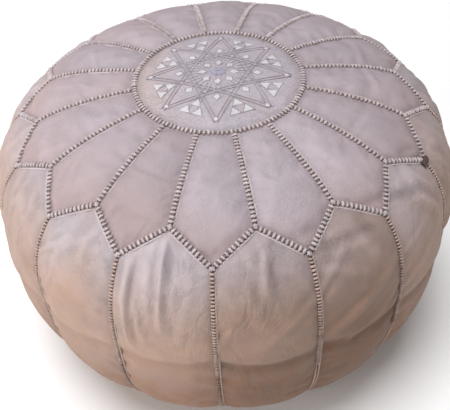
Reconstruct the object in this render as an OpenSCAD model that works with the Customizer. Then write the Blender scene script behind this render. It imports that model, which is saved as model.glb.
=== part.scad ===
// Round stuffed leather pouf: embroidered medallion, top petals, side panels, sewn base and zip.
// Millimetres, +Z up, origin on the floor under the centre, front towards -Y.

/* [Cover] */
// Diameter of the leather at its widest ring
diameter = 540; // [450:5:650]
// Height above the floor that the shoulder's curve would reach in the middle, under the dome
height = 357; // [297:1:430]
// Height of the widest ring above the floor
widest_z = 190; // [150:5:225]
// Fullness of the shoulder: 2 is an ellipse, more is squarer
shoulder_fullness = 3.2; // [2.6:0.1:3.8]
// Fullness of the underside: 2 is an ellipse, more is squarer
under_fullness = 2.65; // [2.2:0.05:3.2]
// Radius of the flat base
base_r = 135; // [130:1:165]
// Thickness of the leather
leather_t = 1.8; // [1.2:0.1:2.4]
// Number of top petals, and of side panels
panel_count = 16; // [12:1:19]

/* [Seams] */
// Radius of the seam around the medallion
medallion_r = 94; // [80:1:110]
// Distance in from the widest ring to the zigzag seam's upper corners, where the radial seams end
upper_corner_in = 64; // [52:1:76]
// Distance in from the widest ring to the zigzag seam's lower corners, the petals' tips
lower_corner_in = 34; // [26:1:44]
// Width of the stitched seams on the top
seam_w = 6.4; // [4:0.2:8]
// Width of the stitched seams down the sides
side_seam_w = 4.6; // [3:0.2:7]
// Height of a stitched seam above the leather
seam_rise = 2.2; // [1:0.1:3]
// Radius of the knotted corner where seams meet
knot_r = 6.2; // [4:0.1:7]
// Height of a knot above the leather
knot_rise = 3; // [1.5:0.1:4]
// Gap between a seam and the leather beside it
seam_gap = 0.1; // [0.05:0.05:0.3]

/* [Medallion] */
// Number of points of the embroidered star
star_points = 8; // [8:1:8]
// Height of the medallion's dome over the seam around it
medallion_dome = 9; // [5:1:14]
// Distance in from the ring seam to the star's points
star_margin = 14; // [12:1:20]
// Width of one embroidered line
line_w = 1.3; // [0.8:0.1:2]
// Distance between the two lines of the star
line_pitch = 4; // [3:0.2:5]
// Height of the embroidery above the leather
embroidery_t = 0.8; // [0.4:0.1:1.2]
// Thickness of a white leather inlay
inlay_t = 0.6; // [0.4:0.1:1]
// Half the length of a kite-shaped inlay
inlay_r = 5; // [3:0.1:5.6]
// Gap between neighbouring inlays, and between an inlay and a line
inlay_gap = 1; // [0.6:0.1:1.6]

/* [Zip] */
// Length of the zip's chain, from stop to stop
chain_len = 190; // [150:5:200]
// Distance between two teeth of one row
tooth_pitch = 4; // [3:0.5:6]
// Height of a tooth across the tape
tooth_h = 2.5; // [2:0.1:3]
// Length of a tooth across the chain
tooth_reach = 3; // [2.6:0.1:3.6]
// Thickness of the zip tape
tape_t = 0.8; // [0.5:0.1:1]
// Width of one tape
tape_w = 13.5; // [11:0.5:16]
// Length of the slider
slider_len = 15; // [12:0.5:20]
// Width of the slider
slider_w = 11.6; // [11:0.2:13]
// Thickness of each of the slider's plates
plate_t = 1.2; // [0.8:0.1:1.6]
// Thickness of the web that joins the slider's plates
web_t = 0.6; // [0.4:0.1:0.8]
// Running clearance around the slider and the pull
run_gap = 0.35; // [0.3:0.05:0.5]
// Length of the pull from its pivot to its tip
pull_len = 27; // [18:1:34]
// Width of the pull
pull_w = 7; // [6:0.5:9]
// Thickness of the pull, which is also its pivot bar
pull_t = 1.6; // [1.2:0.1:1.8]

/* [Stuffing] */
// Gap between the stuffing and the leather round it
stuffing_gap = 0.4; // [0.3:0.1:1]

/* [Hidden] */
$fn = 96;

function two_digits(i) = str(i < 10 ? "0" : "", i);
function petal_name(i) = str("top_petal_", two_digits(i));
function panel_name(i) = str("side_panel_", two_digits(i));

// Colours of the finishes
top_leather = [0.77, 0.73, 0.75];
side_leather = [0.72, 0.62, 0.57];
base_leather = [0.55, 0.43, 0.36];
white_leather = [0.93, 0.92, 0.90];
pale_thread = [0.86, 0.80, 0.79];
lavender_thread = [0.66, 0.58, 0.68];
tape_cloth = [0.45, 0.36, 0.31];
tooth_resin = [0.38, 0.30, 0.26];
zip_metal = [0.78, 0.70, 0.50];
cotton = [0.93, 0.91, 0.86];

// Profile of the cover: one superellipse over the widest ring, and one under it that the floor cuts
outer_r = diameter / 2;
upper_corner_r = outer_r - upper_corner_in;
lower_corner_r = outer_r - lower_corner_in;
star_r = medallion_r - star_margin;
shoulder_h = height - widest_z;
under_h = widest_z / pow(1 - pow(base_r / outer_r, under_fullness), 1 / under_fullness);
shoulder_steps = 15;
under_steps = 12;
half_pitch = 180 / panel_count;
pitch = 2 * half_pitch;

// A point of the profile, pulled in by inset: angle a is 0 on the widest ring, 90 on the axis
function shoulder_point(a, inset = 0) = [
    (outer_r - inset) * pow(cos(a), 2 / shoulder_fullness),
    widest_z + (shoulder_h - inset) * pow(sin(a), 2 / shoulder_fullness)];
function under_point(a, inset = 0) = [
    (outer_r - inset) * pow(cos(a), 2 / under_fullness),
    widest_z - (under_h - inset) * pow(sin(a), 2 / under_fullness)];
function shoulder_angle(r) = acos(pow(r / outer_r, shoulder_fullness / 2));
function under_angle(z, inset = 0) =
    asin(pow((widest_z - z) / (under_h - inset), under_fullness / 2));
function top_z(r) = shoulder_point(shoulder_angle(r))[1];
// Angle between the surface's normal and the vertical, at radius r of the shoulder
function tilt(r) = atan2(top_z(r - 1) - top_z(r + 1), 2);

function shoulder_run(a0, a1, inset, steps = shoulder_steps) =
    [for (i = [0:steps]) shoulder_point(a0 + (a1 - a0) * i / steps, inset)];
function under_run(a0, a1, inset, steps = under_steps) =
    [for (i = [0:steps]) under_point(a0 + (a1 - a0) * i / steps, inset)];
function after_first(list) = [for (i = [1:len(list) - 1]) list[i]];
function reversed(list) = [for (i = [len(list) - 1:-1:0]) list[i]];

// Where the seams' corners stand, in the plane of the petal that faces -Y
upper_corner_z = top_z(upper_corner_r);
lower_corner_z = top_z(lower_corner_r);
mid_r = (upper_corner_r + lower_corner_r) / 2;
// The normals of the zigzag's ring meet the axis here
apex_z = top_z(mid_r) - mid_r / tan(tilt(mid_r));
apex = [0, 0, apex_z];
function upper_corner(side) = [side * upper_corner_r * sin(half_pitch),
                               -upper_corner_r * cos(half_pitch), upper_corner_z];
lower_corner = [0, -lower_corner_r, lower_corner_z];
function unit(v) = v / norm(v);
petal_normal = unit(cross(upper_corner(1) - apex, lower_corner - apex));
up_normal = petal_normal * sign(petal_normal[2]);

// The base and the zip's recess, from the floor up
ring_w = side_seam_w;
base_disc_r = base_r - ring_w / 2 - seam_gap;
medallion_top = top_z(medallion_r);
medallion_edge_r = medallion_r - seam_w / 2 - seam_gap;
dome_ball_r = (pow(medallion_edge_r, 2) + pow(medallion_dome, 2)) / (2 * medallion_dome);
dome_steps = 7;
// Lowest point of the slider, over the floor, and the arch that holds the pull
pivot_rise = 0.5;
arch_t = 0.9;
arch_w = 2;
pivot_z = pivot_rise + arch_t + run_gap + pull_t / 2;
low_plate_z = pivot_z + pull_t / 2 + run_gap;
tooth_z = low_plate_z + plate_t + run_gap;
tape_z = tooth_z + (tooth_h - tape_t) / 2;
high_plate_z = tooth_z + tooth_h + run_gap;
row_x = web_t / 2 + run_gap;
tape_x = row_x + tooth_reach;
tape_end_x = tape_x + tape_w;
recess_x = tape_end_x - leather_t;
flange_x = slider_w / 2 + 3;
chain_y = chain_len / 2;
stop_len = 3;
stop_over = 0.4;
stop_gap = 0.5;
slider_rest_y = chain_y - stop_gap - slider_len / 2;
chain_clear = 4;
window_y = chain_y + stop_len + chain_clear;
flange_w = 5;
pull_swing_y = slider_rest_y + pull_len + 4 * run_gap;
recess_y = max(window_y + flange_w, pull_swing_y);
tape_y = recess_y + leather_t;

// A band of the cover's profile as a closed outline, from inset a to inset b
module shoulder_band(r0, r1, inset, outset, steps) {
    a0 = shoulder_angle(r0);
    a1 = shoulder_angle(r1);
    polygon(concat(shoulder_run(a0, a1, -outset, steps),
                   reversed(shoulder_run(a0, a1, inset, steps))));
}

module side_band(inset, outset, r1) {
    low = under_angle(0);
    polygon(concat(under_run(low, 0, -outset), after_first(shoulder_run(0, shoulder_angle(r1), -outset)),
                   reversed(shoulder_run(0, shoulder_angle(r1), inset)),
                   after_first(reversed(under_run(low, 0, inset)))));
}

module around(offset = 0) {
    for (i = [0:panel_count - 1])
        rotate([0, 0, (i + offset) * pitch]) children();
}

// The pyramid over one petal, with its sides moved out by grow, or in where grow is negative
module petal_cutter(grow) {
    reach = 1.5;
    step_y = -grow / sin(half_pitch);
    step_z = (-grow + step_y * up_normal[1]) / up_normal[2];
    far = concat([for (p = [lower_corner, upper_corner(1)]) apex + reach * (p - apex)],
                 [apex + [0, 0, reach * (height - apex_z) * 1.2]],
                 [apex + reach * (upper_corner(-1) - apex)]);
    translate([0, -step_y, step_z])
        polyhedron(points = concat([apex], far),
                   faces = [[0, 1, 2], [0, 2, 3], [0, 3, 4], [0, 4, 1], [1, 3, 2], [1, 4, 3]]);
}

module knot_place(r) {
    translate([0, -r, top_z(r)]) rotate([tilt(r), 0, 0]) children();
}

module knot_room(r) {
    knot_place(r) translate([0, 0, -3 * leather_t])
        cylinder(r = knot_r + seam_gap, h = 3 * leather_t + 2 * knot_rise);
}

module top_petal() {
    color(top_leather) difference() {
        intersection() {
            rotate_extrude() shoulder_band(lower_corner_r + 12, medallion_r - 12, leather_t, 0, shoulder_steps);
            petal_cutter(-seam_w / 2 - seam_gap);
        }
        translate([0, 0, widest_z]) cylinder(r = medallion_r + seam_w / 2 + seam_gap, h = height);
        knot_room(lower_corner_r);
        for (side = [-1, 1]) rotate([0, 0, side * half_pitch]) knot_room(upper_corner_r);
    }
}

module side_panel() {
    clear = side_seam_w / 2 + seam_gap;
    start_y = -clear / sin(half_pitch);
    wedge = diameter;
    color(side_leather) difference() {
        difference() {
            intersection() {
                rotate_extrude() side_band(leather_t, 0, upper_corner_r - 14);
                linear_extrude(height + 1)
                    polygon([[0, start_y],
                             [-wedge * sin(half_pitch), start_y - wedge * cos(half_pitch)],
                             [wedge * sin(half_pitch), start_y - wedge * cos(half_pitch)]]);
            }
            for (side = [-1, 1])
                rotate([0, 0, side * half_pitch]) petal_cutter(seam_w / 2 + seam_gap);
            translate([0, 0, -1]) cylinder(r = base_r + ring_w / 2 + seam_gap, h = widest_z / 4);
        }
        knot_room(upper_corner_r);
        for (side = [-1, 1]) rotate([0, 0, side * half_pitch]) knot_room(lower_corner_r);
    }
}

// A shallow dome over the medallion: its surface is a ball's cap
function dome_point(r, lift) = [r, medallion_top + lift + sqrt(pow(dome_ball_r, 2) - r * r) - dome_ball_r
                                   + medallion_dome];
function dome_run(lift) = [for (i = [0:dome_steps]) dome_point(medallion_edge_r * i / dome_steps, lift)];

module dome_band(low, high) {
    rotate_extrude() polygon(concat(dome_run(low), reversed(dome_run(high))));
}

// The flat shapes given as children, laid on the dome with that thickness
module on_dome(thickness) {
    intersection() {
        dome_band(0, thickness);
        translate([0, 0, medallion_top - medallion_dome])
            linear_extrude(3 * medallion_dome) children();
    }
}

module medallion_disc() {
    color(top_leather) dome_band(-leather_t, 0);
}

module kite(length, width) {
    polygon([[0, -length], [width, 0], [0, length], [-width, 0]]);
}

// A triangle with its point towards the middle, cut into four, with the three at its corners kept
module corner_triangles(point_r, edge_r, half_w) {
    point = [0, -point_r];
    corners = [point, [-half_w, -edge_r], [half_w, -edge_r]];
    for (i = [0:2]) {
        own = corners[i];
        small = [for (c = corners) (own + c) / 2];
        small_middle = (small[0] + small[1] + small[2]) / 3;
        keep = 1 - inlay_gap * 2.2 / half_w;
        polygon([for (c = small) small_middle + keep * (c - small_middle)]);
    }
}

// White leather pieces: two in each arm and one at its root, and three triangles between two arms
module medallion_inlays() {
    arm = 360 / star_points;
    line_r = star_r * cos(1.5 * arm);
    notch_r = (line_r + line_pitch / 2 + line_w / 2 + inlay_gap) / cos(arm);
    edge_r = star_r * 0.9;
    color(white_leather) on_dome(inlay_t) for (i = [0:star_points - 1]) {
        rotate([0, 0, i * arm]) {
            translate([0, -star_r * 0.22]) kite(inlay_r, inlay_r * 0.78);
            translate([0, -line_r / cos(arm / 2) - line_pitch - inlay_r - inlay_gap])
                kite(inlay_r, inlay_r * 0.8);
        }
        rotate([0, 0, (i + 0.5) * arm])
            corner_triangles(notch_r, edge_r, (edge_r - notch_r) * 0.62);
    }
}

// The star's chords, each a pair of lines, and the rosette in the middle
module medallion_embroidery() {
    arm = 360 / star_points;
    chord_r = star_r * cos(1.5 * arm);
    chord_len = 2 * star_r * sin(1.5 * arm);
    rosette_r = chord_r * 0.3;
    color(lavender_thread) on_dome(embroidery_t) {
        for (i = [0:star_points - 1]) rotate([0, 0, (i + 0.5) * arm])
            for (side = [-1, 1])
                translate([0, chord_r + side * line_pitch / 2])
                    square([chord_len, line_w], center = true);
        difference() {
            circle(r = rosette_r);
            circle(r = rosette_r - line_w);
        }
    }
}

module medallion_ring_seam() {
    low = medallion_top - leather_t;
    high = medallion_top + seam_rise;
    edge = seam_w / 2;
    color(pale_thread) rotate_extrude() translate([medallion_r, 0])
        polygon([[-edge, low], [edge, low], [edge, high - 1], [edge - 1.4, high],
                 [1.4 - edge, high], [-edge, high - 1]]);
}

module radial_seam() {
    difference() {
        rotate([90, 0, -90]) linear_extrude(seam_w, center = true)
            shoulder_band(upper_corner_r, medallion_r, leather_t, seam_rise, 8);
        translate([0, 0, widest_z]) cylinder(r = medallion_r + seam_w / 2 + seam_gap, h = height);
        knot_room(upper_corner_r);
    }
}

module radial_seams() {
    color(pale_thread) around(0.5) radial_seam();
}

// One side of the zigzag: a slab of the raised cover between an upper and a lower corner
module zigzag_side(side) {
    run = upper_corner(side) - lower_corner;
    along = unit(run);
    normal = unit(cross(upper_corner(side) - apex, lower_corner - apex));
    out = cross(along, normal);
    mid = (upper_corner(side) + lower_corner) / 2;
    free_len = norm(run) - 2 * (knot_r + seam_gap);
    intersection() {
        rotate_extrude() shoulder_band(lower_corner_r + 12, upper_corner_r - 14, leather_t, seam_rise, 6);
        multmatrix([[along[0], normal[0], out[0], mid[0]],
                    [along[1], normal[1], out[1], mid[1]],
                    [along[2], normal[2], out[2], mid[2]],
                    [0, 0, 0, 1]])
            cube([free_len, seam_w, 60], center = true);
    }
}

module zigzag_seams() {
    color(pale_thread) around() {
        zigzag_side(-1);
        zigzag_side(1);
    }
}

module knot(r) {
    knot_place(r) translate([0, 0, -leather_t / 2]) cylinder(r = knot_r, h = leather_t / 2 + knot_rise);
}

module seam_knots() {
    color(lavender_thread) {
        around() knot(lower_corner_r);
        around(0.5) knot(upper_corner_r);
    }
}

module side_seams() {
    color(pale_thread) around() difference() {
        rotate([90, 0, -90]) linear_extrude(side_seam_w, center = true)
            side_band(leather_t, seam_rise, lower_corner_r);
        knot_room(lower_corner_r);
        translate([0, 0, -1]) cylinder(r = base_r + ring_w / 2 + seam_gap, h = widest_z / 4);
        translate([0, 0, -diameter]) cylinder(r = diameter, h = diameter);
    }
}

// Half of the base, with the edge along the zip turned up into a lip and a flange
module base_half() {
    color(base_leather) difference() {
        union() {
            intersection() {
                cylinder(r = base_disc_r, h = leather_t);
                translate([0, -base_r, 0]) cube([base_r, 2 * base_r, leather_t]);
            }
            translate([0, -tape_y, 0]) cube([tape_end_x, 2 * tape_y, tape_z]);
        }
        translate([-1, -recess_y, -1]) cube([recess_x + 1, 2 * recess_y, tape_z - leather_t + 1]);
        translate([-1, -window_y, -1]) cube([flange_x + 1, 2 * window_y, tape_z + 2]);
    }
}

module base_half_right() {
    base_half();
}

module base_half_left() {
    mirror([1, 0, 0]) base_half();
}

module base_ring_seam() {
    color(pale_thread) rotate_extrude() translate([base_r - ring_w / 2, 0]) square([ring_w, leather_t]);
}

module zip_tape() {
    color(tape_cloth) translate([tape_x, -tape_y, tape_z]) cube([tape_w, 2 * tape_y, tape_t]);
}

module zip_tape_right() {
    zip_tape();
}

module zip_tape_left() {
    mirror([1, 0, 0]) zip_tape();
}

// A row of teeth on the tape's edge: the other row stands half a pitch along
module teeth_row(shift) {
    tooth_len = tooth_pitch * 0.42;
    color(tooth_resin) for (y = [-chain_y + tooth_pitch / 2 + shift:tooth_pitch:chain_y - tooth_pitch / 2])
        translate([row_x, y - tooth_len / 2, tooth_z]) cube([tooth_reach, tooth_len, tooth_h]);
}

module zip_teeth_right() {
    teeth_row(0);
}

module zip_teeth_left() {
    mirror([1, 0, 0]) teeth_row(tooth_pitch / 2);
}

module stop_clip(y) {
    translate([row_x, y, tooth_z - stop_over]) cube([tooth_reach, stop_len, tooth_h + 2 * stop_over]);
}

module zip_top_stops() {
    color(zip_metal) for (side = [0, 1]) mirror([side, 0, 0]) stop_clip(chain_y);
}

module zip_bottom_stop() {
    color(zip_metal) translate([-tape_x, -chain_y - stop_len, tooth_z - stop_over])
        cube([2 * tape_x, stop_len, tooth_h + 2 * stop_over]);
}

module slider_plate() {
    nose = slider_w * 0.3;
    linear_extrude(plate_t)
        polygon([[-slider_w / 2, slider_len / 2 - nose], [-nose, slider_len / 2],
                 [nose, slider_len / 2], [slider_w / 2, slider_len / 2 - nose],
                 [slider_w / 2 - 1, -slider_len / 2], [1 - slider_w / 2, -slider_len / 2]]);
}

// The slider: two plates round the chain, a web between the rows, side rails and an arch for the pull
module zip_slider() {
    arch_len = 2 * (pull_t / 2 + run_gap + arch_t);
    rail_w = 1;
    rail_len = slider_len * 0.55;
    rail_x = tape_x + run_gap;
    color(zip_metal) translate([0, slider_rest_y, 0]) {
        translate([0, 0, low_plate_z]) slider_plate();
        translate([0, 0, high_plate_z]) slider_plate();
        translate([-web_t / 2, -slider_len / 4, low_plate_z])
            cube([web_t, slider_len / 2, high_plate_z + plate_t - low_plate_z]);
        for (side = [0, 1]) mirror([side, 0, 0]) {
            translate([rail_x, -rail_len / 2, low_plate_z])
                cube([rail_w, rail_len, tape_z - run_gap - low_plate_z]);
            translate([rail_x, -rail_len / 2, tape_z + tape_t + run_gap])
                cube([rail_w, rail_len, high_plate_z + plate_t - tape_z - tape_t - run_gap]);
        }
        difference() {
            translate([-arch_w / 2, -arch_len / 2, pivot_rise])
                cube([arch_w, arch_len, low_plate_z + plate_t - pivot_rise]);
            translate([-arch_w, 0, pivot_z]) rotate([0, 90, 0])
                cylinder(r = pull_t / 2 + run_gap, h = 2 * arch_w);
        }
    }
}

// The pull: a pivot bar through the slider's arch, two arms and a rounded tab with a hole
module zip_pull() {
    eye_w = arch_w + 3 * run_gap;
    eye_len = pull_t / 2 + run_gap + arch_t + 1.2;
    tip_r = pull_w / 2;
    color(zip_metal) translate([0, slider_rest_y, pivot_z]) {
        translate([-pull_w / 2, 0, 0]) rotate([0, 90, 0]) cylinder(d = pull_t, h = pull_w);
        difference() {
            union() {
                translate([-pull_w / 2, tip_r - pull_len, -pull_t / 2])
                    cube([pull_w, pull_len - tip_r, pull_t]);
                translate([0, tip_r - pull_len, -pull_t / 2]) cylinder(r = tip_r, h = pull_t);
            }
            translate([-eye_w / 2, -eye_len, -pull_t]) cube([eye_w, 2 * eye_len, 2 * pull_t]);
            translate([0, tip_r - pull_len, -pull_t]) cylinder(r = tip_r * 0.4, h = 2 * pull_t);
        }
    }
}

module stuffing() {
    inset = leather_t + stuffing_gap;
    floor_z = inset;
    rim_z = medallion_top - inset;
    low = under_angle(floor_z, inset);
    high = asin(pow((rim_z - widest_z) / (shoulder_h - inset), shoulder_fullness / 2));
    color(cotton) difference() {
        rotate_extrude()
            polygon(concat([[0, floor_z]], under_run(low, 0, inset), after_first(shoulder_run(0, high, inset)),
                           reversed(dome_run(-inset))));
        translate([-tape_end_x - 1, -tape_y - 1, 0])
            cube([2 * (tape_end_x + 1), 2 * (tape_y + 1), high_plate_z + plate_t + 1]);
    }
}

for (i = [1:panel_count]) rotate([0, 0, (i - 1) * pitch]) top_petal();
for (i = [1:panel_count]) rotate([0, 0, (i - 0.5) * pitch]) side_panel();
medallion_disc();
medallion_inlays();
medallion_embroidery();
medallion_ring_seam();
radial_seams();
zigzag_seams();
seam_knots();
side_seams();
base_half_left();
base_half_right();
base_ring_seam();
zip_tape_left();
zip_tape_right();
zip_teeth_left();
zip_teeth_right();
zip_top_stops();
zip_bottom_stop();
zip_slider();
zip_pull();
stuffing();
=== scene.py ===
"""A leather floor pouf: the look of its cover, seams, medallion and base zip.

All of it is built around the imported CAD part.
The pouf stands on z = 0 with its axis on z and its front towards -Y. An azimuth is in degrees from the
front towards +X. An arc is a length along the cover's profile, from the ring seam out and down to the
base seam. Every length is in metres.
"""

import bisect
import logging
import math
import random
from collections.abc import Callable, Sequence
from dataclasses import dataclass, field
from enum import Enum
from functools import cached_property, lru_cache

import bmesh
import bpy
from mathutils import Matrix, Vector, noise


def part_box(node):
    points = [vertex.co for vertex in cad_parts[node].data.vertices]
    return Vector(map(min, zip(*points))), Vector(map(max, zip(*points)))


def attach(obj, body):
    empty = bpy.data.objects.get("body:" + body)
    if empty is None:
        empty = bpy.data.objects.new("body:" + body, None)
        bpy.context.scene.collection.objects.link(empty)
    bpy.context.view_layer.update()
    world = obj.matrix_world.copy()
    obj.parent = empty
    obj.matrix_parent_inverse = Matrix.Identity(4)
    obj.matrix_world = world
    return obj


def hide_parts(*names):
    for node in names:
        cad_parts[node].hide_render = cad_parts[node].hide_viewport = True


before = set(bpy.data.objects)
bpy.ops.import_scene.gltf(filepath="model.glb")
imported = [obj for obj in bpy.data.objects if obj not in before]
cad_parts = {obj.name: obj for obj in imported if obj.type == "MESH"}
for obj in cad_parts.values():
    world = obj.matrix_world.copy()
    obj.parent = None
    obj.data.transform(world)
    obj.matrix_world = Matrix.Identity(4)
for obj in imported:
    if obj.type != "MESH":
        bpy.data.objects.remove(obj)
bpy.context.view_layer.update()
LOG = logging.getLogger("pouf")
MM = 0.001
COVER_BODY = "cover"

Colour = tuple[float, float, float]
Route = Callable[[float], tuple[float, float]]


class Slot(Enum):
    """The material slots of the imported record."""

    TOP_LEATHER = "top_leather"
    SIDE_LEATHER = "side_leather"
    MEDALLION_LEATHER = "medallion_leather"
    WHITE_LEATHER = "white_leather"
    LAVENDER_THREAD = "lavender_thread"
    PALE_THREAD = "pale_thread"
    DARK_THREAD = "dark_thread"
    SEAM_LEATHER = "side_seam_leather"
    BASE_LEATHER = "base_leather"
    ZIP_CLOTH = "zip_cloth"
    ZIP_RESIN = "zip_resin"
    ZIP_METAL = "zip_metal"
    COTTON = "cotton_filling"


class Mark(Enum):
    """The per-vertex values that the finishes read."""

    TONE = "tone"
    BLUSH = "blush"
    SEAM = "seam_dark_fold_shade_and_highlight"
    FOLD = "under_crease_shade_and_tan"
    REACH = "reach"


def smoothstep(low: float, high: float, value: float) -> float:
    """Returns 0 below low, 1 above high, and a smooth rise between them."""
    t = min(max((value - low) / (high - low), 0.0), 1.0)
    return t * t * (3.0 - 2.0 * t)


def bell(distance: float, width: float) -> float:
    """Returns 1 at no distance, falling off smoothly over the width."""
    return math.exp(-((distance / width) ** 2))


# ---------------------------------------------------------------- the pouf's form


@dataclass(frozen=True)
class Shell:
    """The cover's outer form: a shoulder curve over the widest ring and a tucked curve under it."""

    outer_r: float = 0.270
    height: float = 0.357
    widest_z: float = 0.190
    shoulder_fullness: float = 3.2
    under_fullness: float = 2.65
    base_r: float = 0.135
    ring_r: float = 0.094
    upper_corner_r: float = 0.206
    lower_corner_r: float = 0.236
    panels: int = 16
    steps: int = 240

    @property
    def pitch(self) -> float:
        """Returns the azimuth between two panels, in degrees."""
        return 360.0 / self.panels

    @property
    def under_h(self) -> float:
        """Returns the full height of the lower curve, which the floor cuts off."""
        power = self.under_fullness
        return self.widest_z / (1 - (self.base_r / self.outer_r) ** power) ** (1 / power)

    def top_z(self, radius: float) -> float:
        """Returns the shoulder's height at a radius."""
        power = self.shoulder_fullness
        rise = (1 - (radius / self.outer_r) ** power) ** (1 / power)
        return self.widest_z + (self.height - self.widest_z) * rise

    def shoulder_angle(self, radius: float) -> float:
        """Returns the shoulder curve's own angle at a radius, 0 at the widest ring."""
        return math.acos((radius / self.outer_r) ** (self.shoulder_fullness / 2))

    @cached_property
    def run(self) -> tuple[list[float], list[tuple[float, float]]]:
        """Returns the arcs and the (radius, height) pairs of the profile."""
        top = self.shoulder_angle(self.ring_r)
        low = math.asin((self.widest_z / self.under_h) ** (self.under_fullness / 2))
        over, under = 2 / self.shoulder_fullness, 2 / self.under_fullness
        rise = self.height - self.widest_z
        pairs = []
        for i in range(self.steps):
            a = top * (1 - i / self.steps) ** 1.6
            pairs.append((self.outer_r * math.cos(a) ** over, self.widest_z + rise * math.sin(a) ** over))
        for i in range(self.steps + 1):
            a = low * (i / self.steps) ** 1.3
            drop = self.under_h * math.sin(a) ** under
            pairs.append((self.outer_r * math.cos(a) ** under, self.widest_z - drop))
        arcs = [0.0]
        for (r0, z0), (r1, z1) in zip(pairs, pairs[1:]):
            arcs.append(arcs[-1] + math.hypot(r1 - r0, z1 - z0))
        return arcs, pairs

    @property
    def length(self) -> float:
        """Returns the arc of the base seam."""
        return self.run[0][-1]

    def at(self, arc: float) -> tuple[float, float]:
        """Returns the radius and height at an arc."""
        arcs, pairs = self.run
        i = min(max(bisect.bisect_right(arcs, arc) - 1, 0), len(arcs) - 2)
        t = (arc - arcs[i]) / (arcs[i + 1] - arcs[i])
        (r0, z0), (r1, z1) = pairs[i], pairs[i + 1]
        return r0 + (r1 - r0) * t, z0 + (z1 - z0) * t

    @lru_cache(maxsize=None)
    def arc_of_radius(self, radius: float) -> float:
        """Returns the arc on the shoulder at a radius."""
        low, high = 0.0, self.arc_of_height(self.widest_z)
        for _ in range(40):
            middle = (low + high) / 2
            low, high = (middle, high) if self.at(middle)[0] < radius else (low, middle)
        return low

    @lru_cache(maxsize=None)
    def arc_of_height(self, height: float) -> float:
        """Returns the arc at a height of the side."""
        low, high = 0.0, self.length
        for _ in range(40):
            middle = (low + high) / 2
            low, high = (middle, high) if self.at(middle)[1] > height else (low, middle)
        return low

    def outward(self, arc: float) -> tuple[float, float]:
        """Returns the surface's normal at an arc, as radius and height parts."""
        (r0, z0), (r1, z1) = self.at(arc - 2 * MM), self.at(arc + 2 * MM)
        size = math.hypot(r1 - r0, z1 - z0)
        return (z0 - z1) / size, (r1 - r0) / size

    def spot(self, azimuth: float, arc: float, lift: float = 0.0) -> Vector:
        """Returns the point at an azimuth and an arc, lifted off the surface."""
        radius, height = self.at(arc)
        out_r, out_z = self.outward(arc)
        radius, height = radius + out_r * lift, height + out_z * lift
        a = math.radians(azimuth)
        return Vector((radius * math.sin(a), -radius * math.cos(a), height))

    def up(self, azimuth: float, arc: float) -> Vector:
        """Returns the surface's outward direction at an azimuth and an arc."""
        out_r, out_z = self.outward(arc)
        a = math.radians(azimuth)
        return Vector((out_r * math.sin(a), -out_r * math.cos(a), out_z))

    @lru_cache(maxsize=None)
    def zigzag_arc(self, off_corner: float) -> float:
        """Returns the zigzag seam's arc.

        Args:
            off_corner: how far the azimuth is from the nearest lower corner, in degrees.

        Returns:
            The arc where the straight cut from a lower to an upper corner meets the shoulder.
        """
        middle_r = (self.upper_corner_r + self.lower_corner_r) / 2
        slope = (self.top_z(middle_r - MM) - self.top_z(middle_r + MM)) / (2 * MM)
        apex = Vector((0, 0, self.top_z(middle_r) - middle_r / slope))
        half = math.radians(self.pitch / 2)
        upper = Vector((self.upper_corner_r * math.sin(half), -self.upper_corner_r * math.cos(half),
                        self.top_z(self.upper_corner_r)))
        lower = Vector((0, -self.lower_corner_r, self.top_z(self.lower_corner_r)))
        cut = (upper - apex).cross(lower - apex)
        low = self.arc_of_radius(self.upper_corner_r - 12 * MM)
        high = self.arc_of_radius(self.lower_corner_r + 12 * MM)
        side = cut.dot(self.spot(off_corner, low) - apex) > 0
        for _ in range(40):
            middle = (low + high) / 2
            same = (cut.dot(self.spot(off_corner, middle) - apex) > 0) == side
            low, high = (middle, high) if same else (low, middle)
        return low

    def zigzag(self, azimuth: float) -> float:
        """Returns the zigzag seam's arc at any azimuth."""
        off = abs((azimuth + self.pitch / 2) % self.pitch - self.pitch / 2)
        return self.zigzag_arc(round(off, 4))


SHELL = Shell()


# ---------------------------------------------------------------- making pieces


def finish_piece(name: str, bm: bmesh.types.BMesh, finish: bpy.types.Material,
                 nodes: Sequence[str] = (), smooth: bool = True) -> bpy.types.Object:
    """Makes a finished mesh into a piece that rides on the cover.

    Args:
        name: the piece's name.
        bm: its mesh, which is freed.
        finish: its material.
        nodes: the CAD nodes that it replaces.
        smooth: whether its faces are shaded smooth.

    Returns:
        The new object.
    """
    for face in bm.faces:
        face.smooth = smooth
    mesh = bpy.data.meshes.new(name)
    bm.to_mesh(mesh)
    bm.free()
    piece = bpy.data.objects.new(name, mesh)
    bpy.context.scene.collection.objects.link(piece)
    mesh.materials.append(finish)
    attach(piece, COVER_BODY)
    if nodes:
        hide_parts(*nodes)
    LOG.info("%s: %d vertices, %d faces", name, len(mesh.vertices), len(mesh.polygons))
    return piece


def add_wall(piece: bpy.types.Object, thickness: float, rounds: int = 0) -> None:
    """Rounds a sheet by subdivision and gives it its thickness, inwards."""
    if rounds:
        soften = piece.modifiers.new("Rounded", "SUBSURF")
        soften.levels = soften.render_levels = rounds
        soften.boundary_smooth = "PRESERVE_CORNERS"
        soften.use_limit_surface = False
    wall = piece.modifiers.new("Thickness", "SOLIDIFY")
    wall.thickness = thickness
    wall.offset = -1.0


def mark_vertices(mesh: bpy.types.Mesh, mark: Mark, values: Sequence[float]) -> None:
    """Stores one value for each vertex under a mark's name."""
    layer = mesh.attributes.new(mark.value, "FLOAT", "POINT")
    layer.data.foreach_set("value", values)


@dataclass(frozen=True)
class Station:
    """A place on a track, with its three directions."""

    place: Vector
    along: Vector
    across: Vector
    up: Vector

    def matrix(self, scale: Vector) -> Matrix:
        """Returns the transform that puts a shape (x across, y along, z up) here."""
        turn = Matrix((self.across, self.along, self.up)).transposed().to_4x4()
        return Matrix.Translation(self.place) @ turn @ Matrix.Diagonal(scale).to_4x4()


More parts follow.
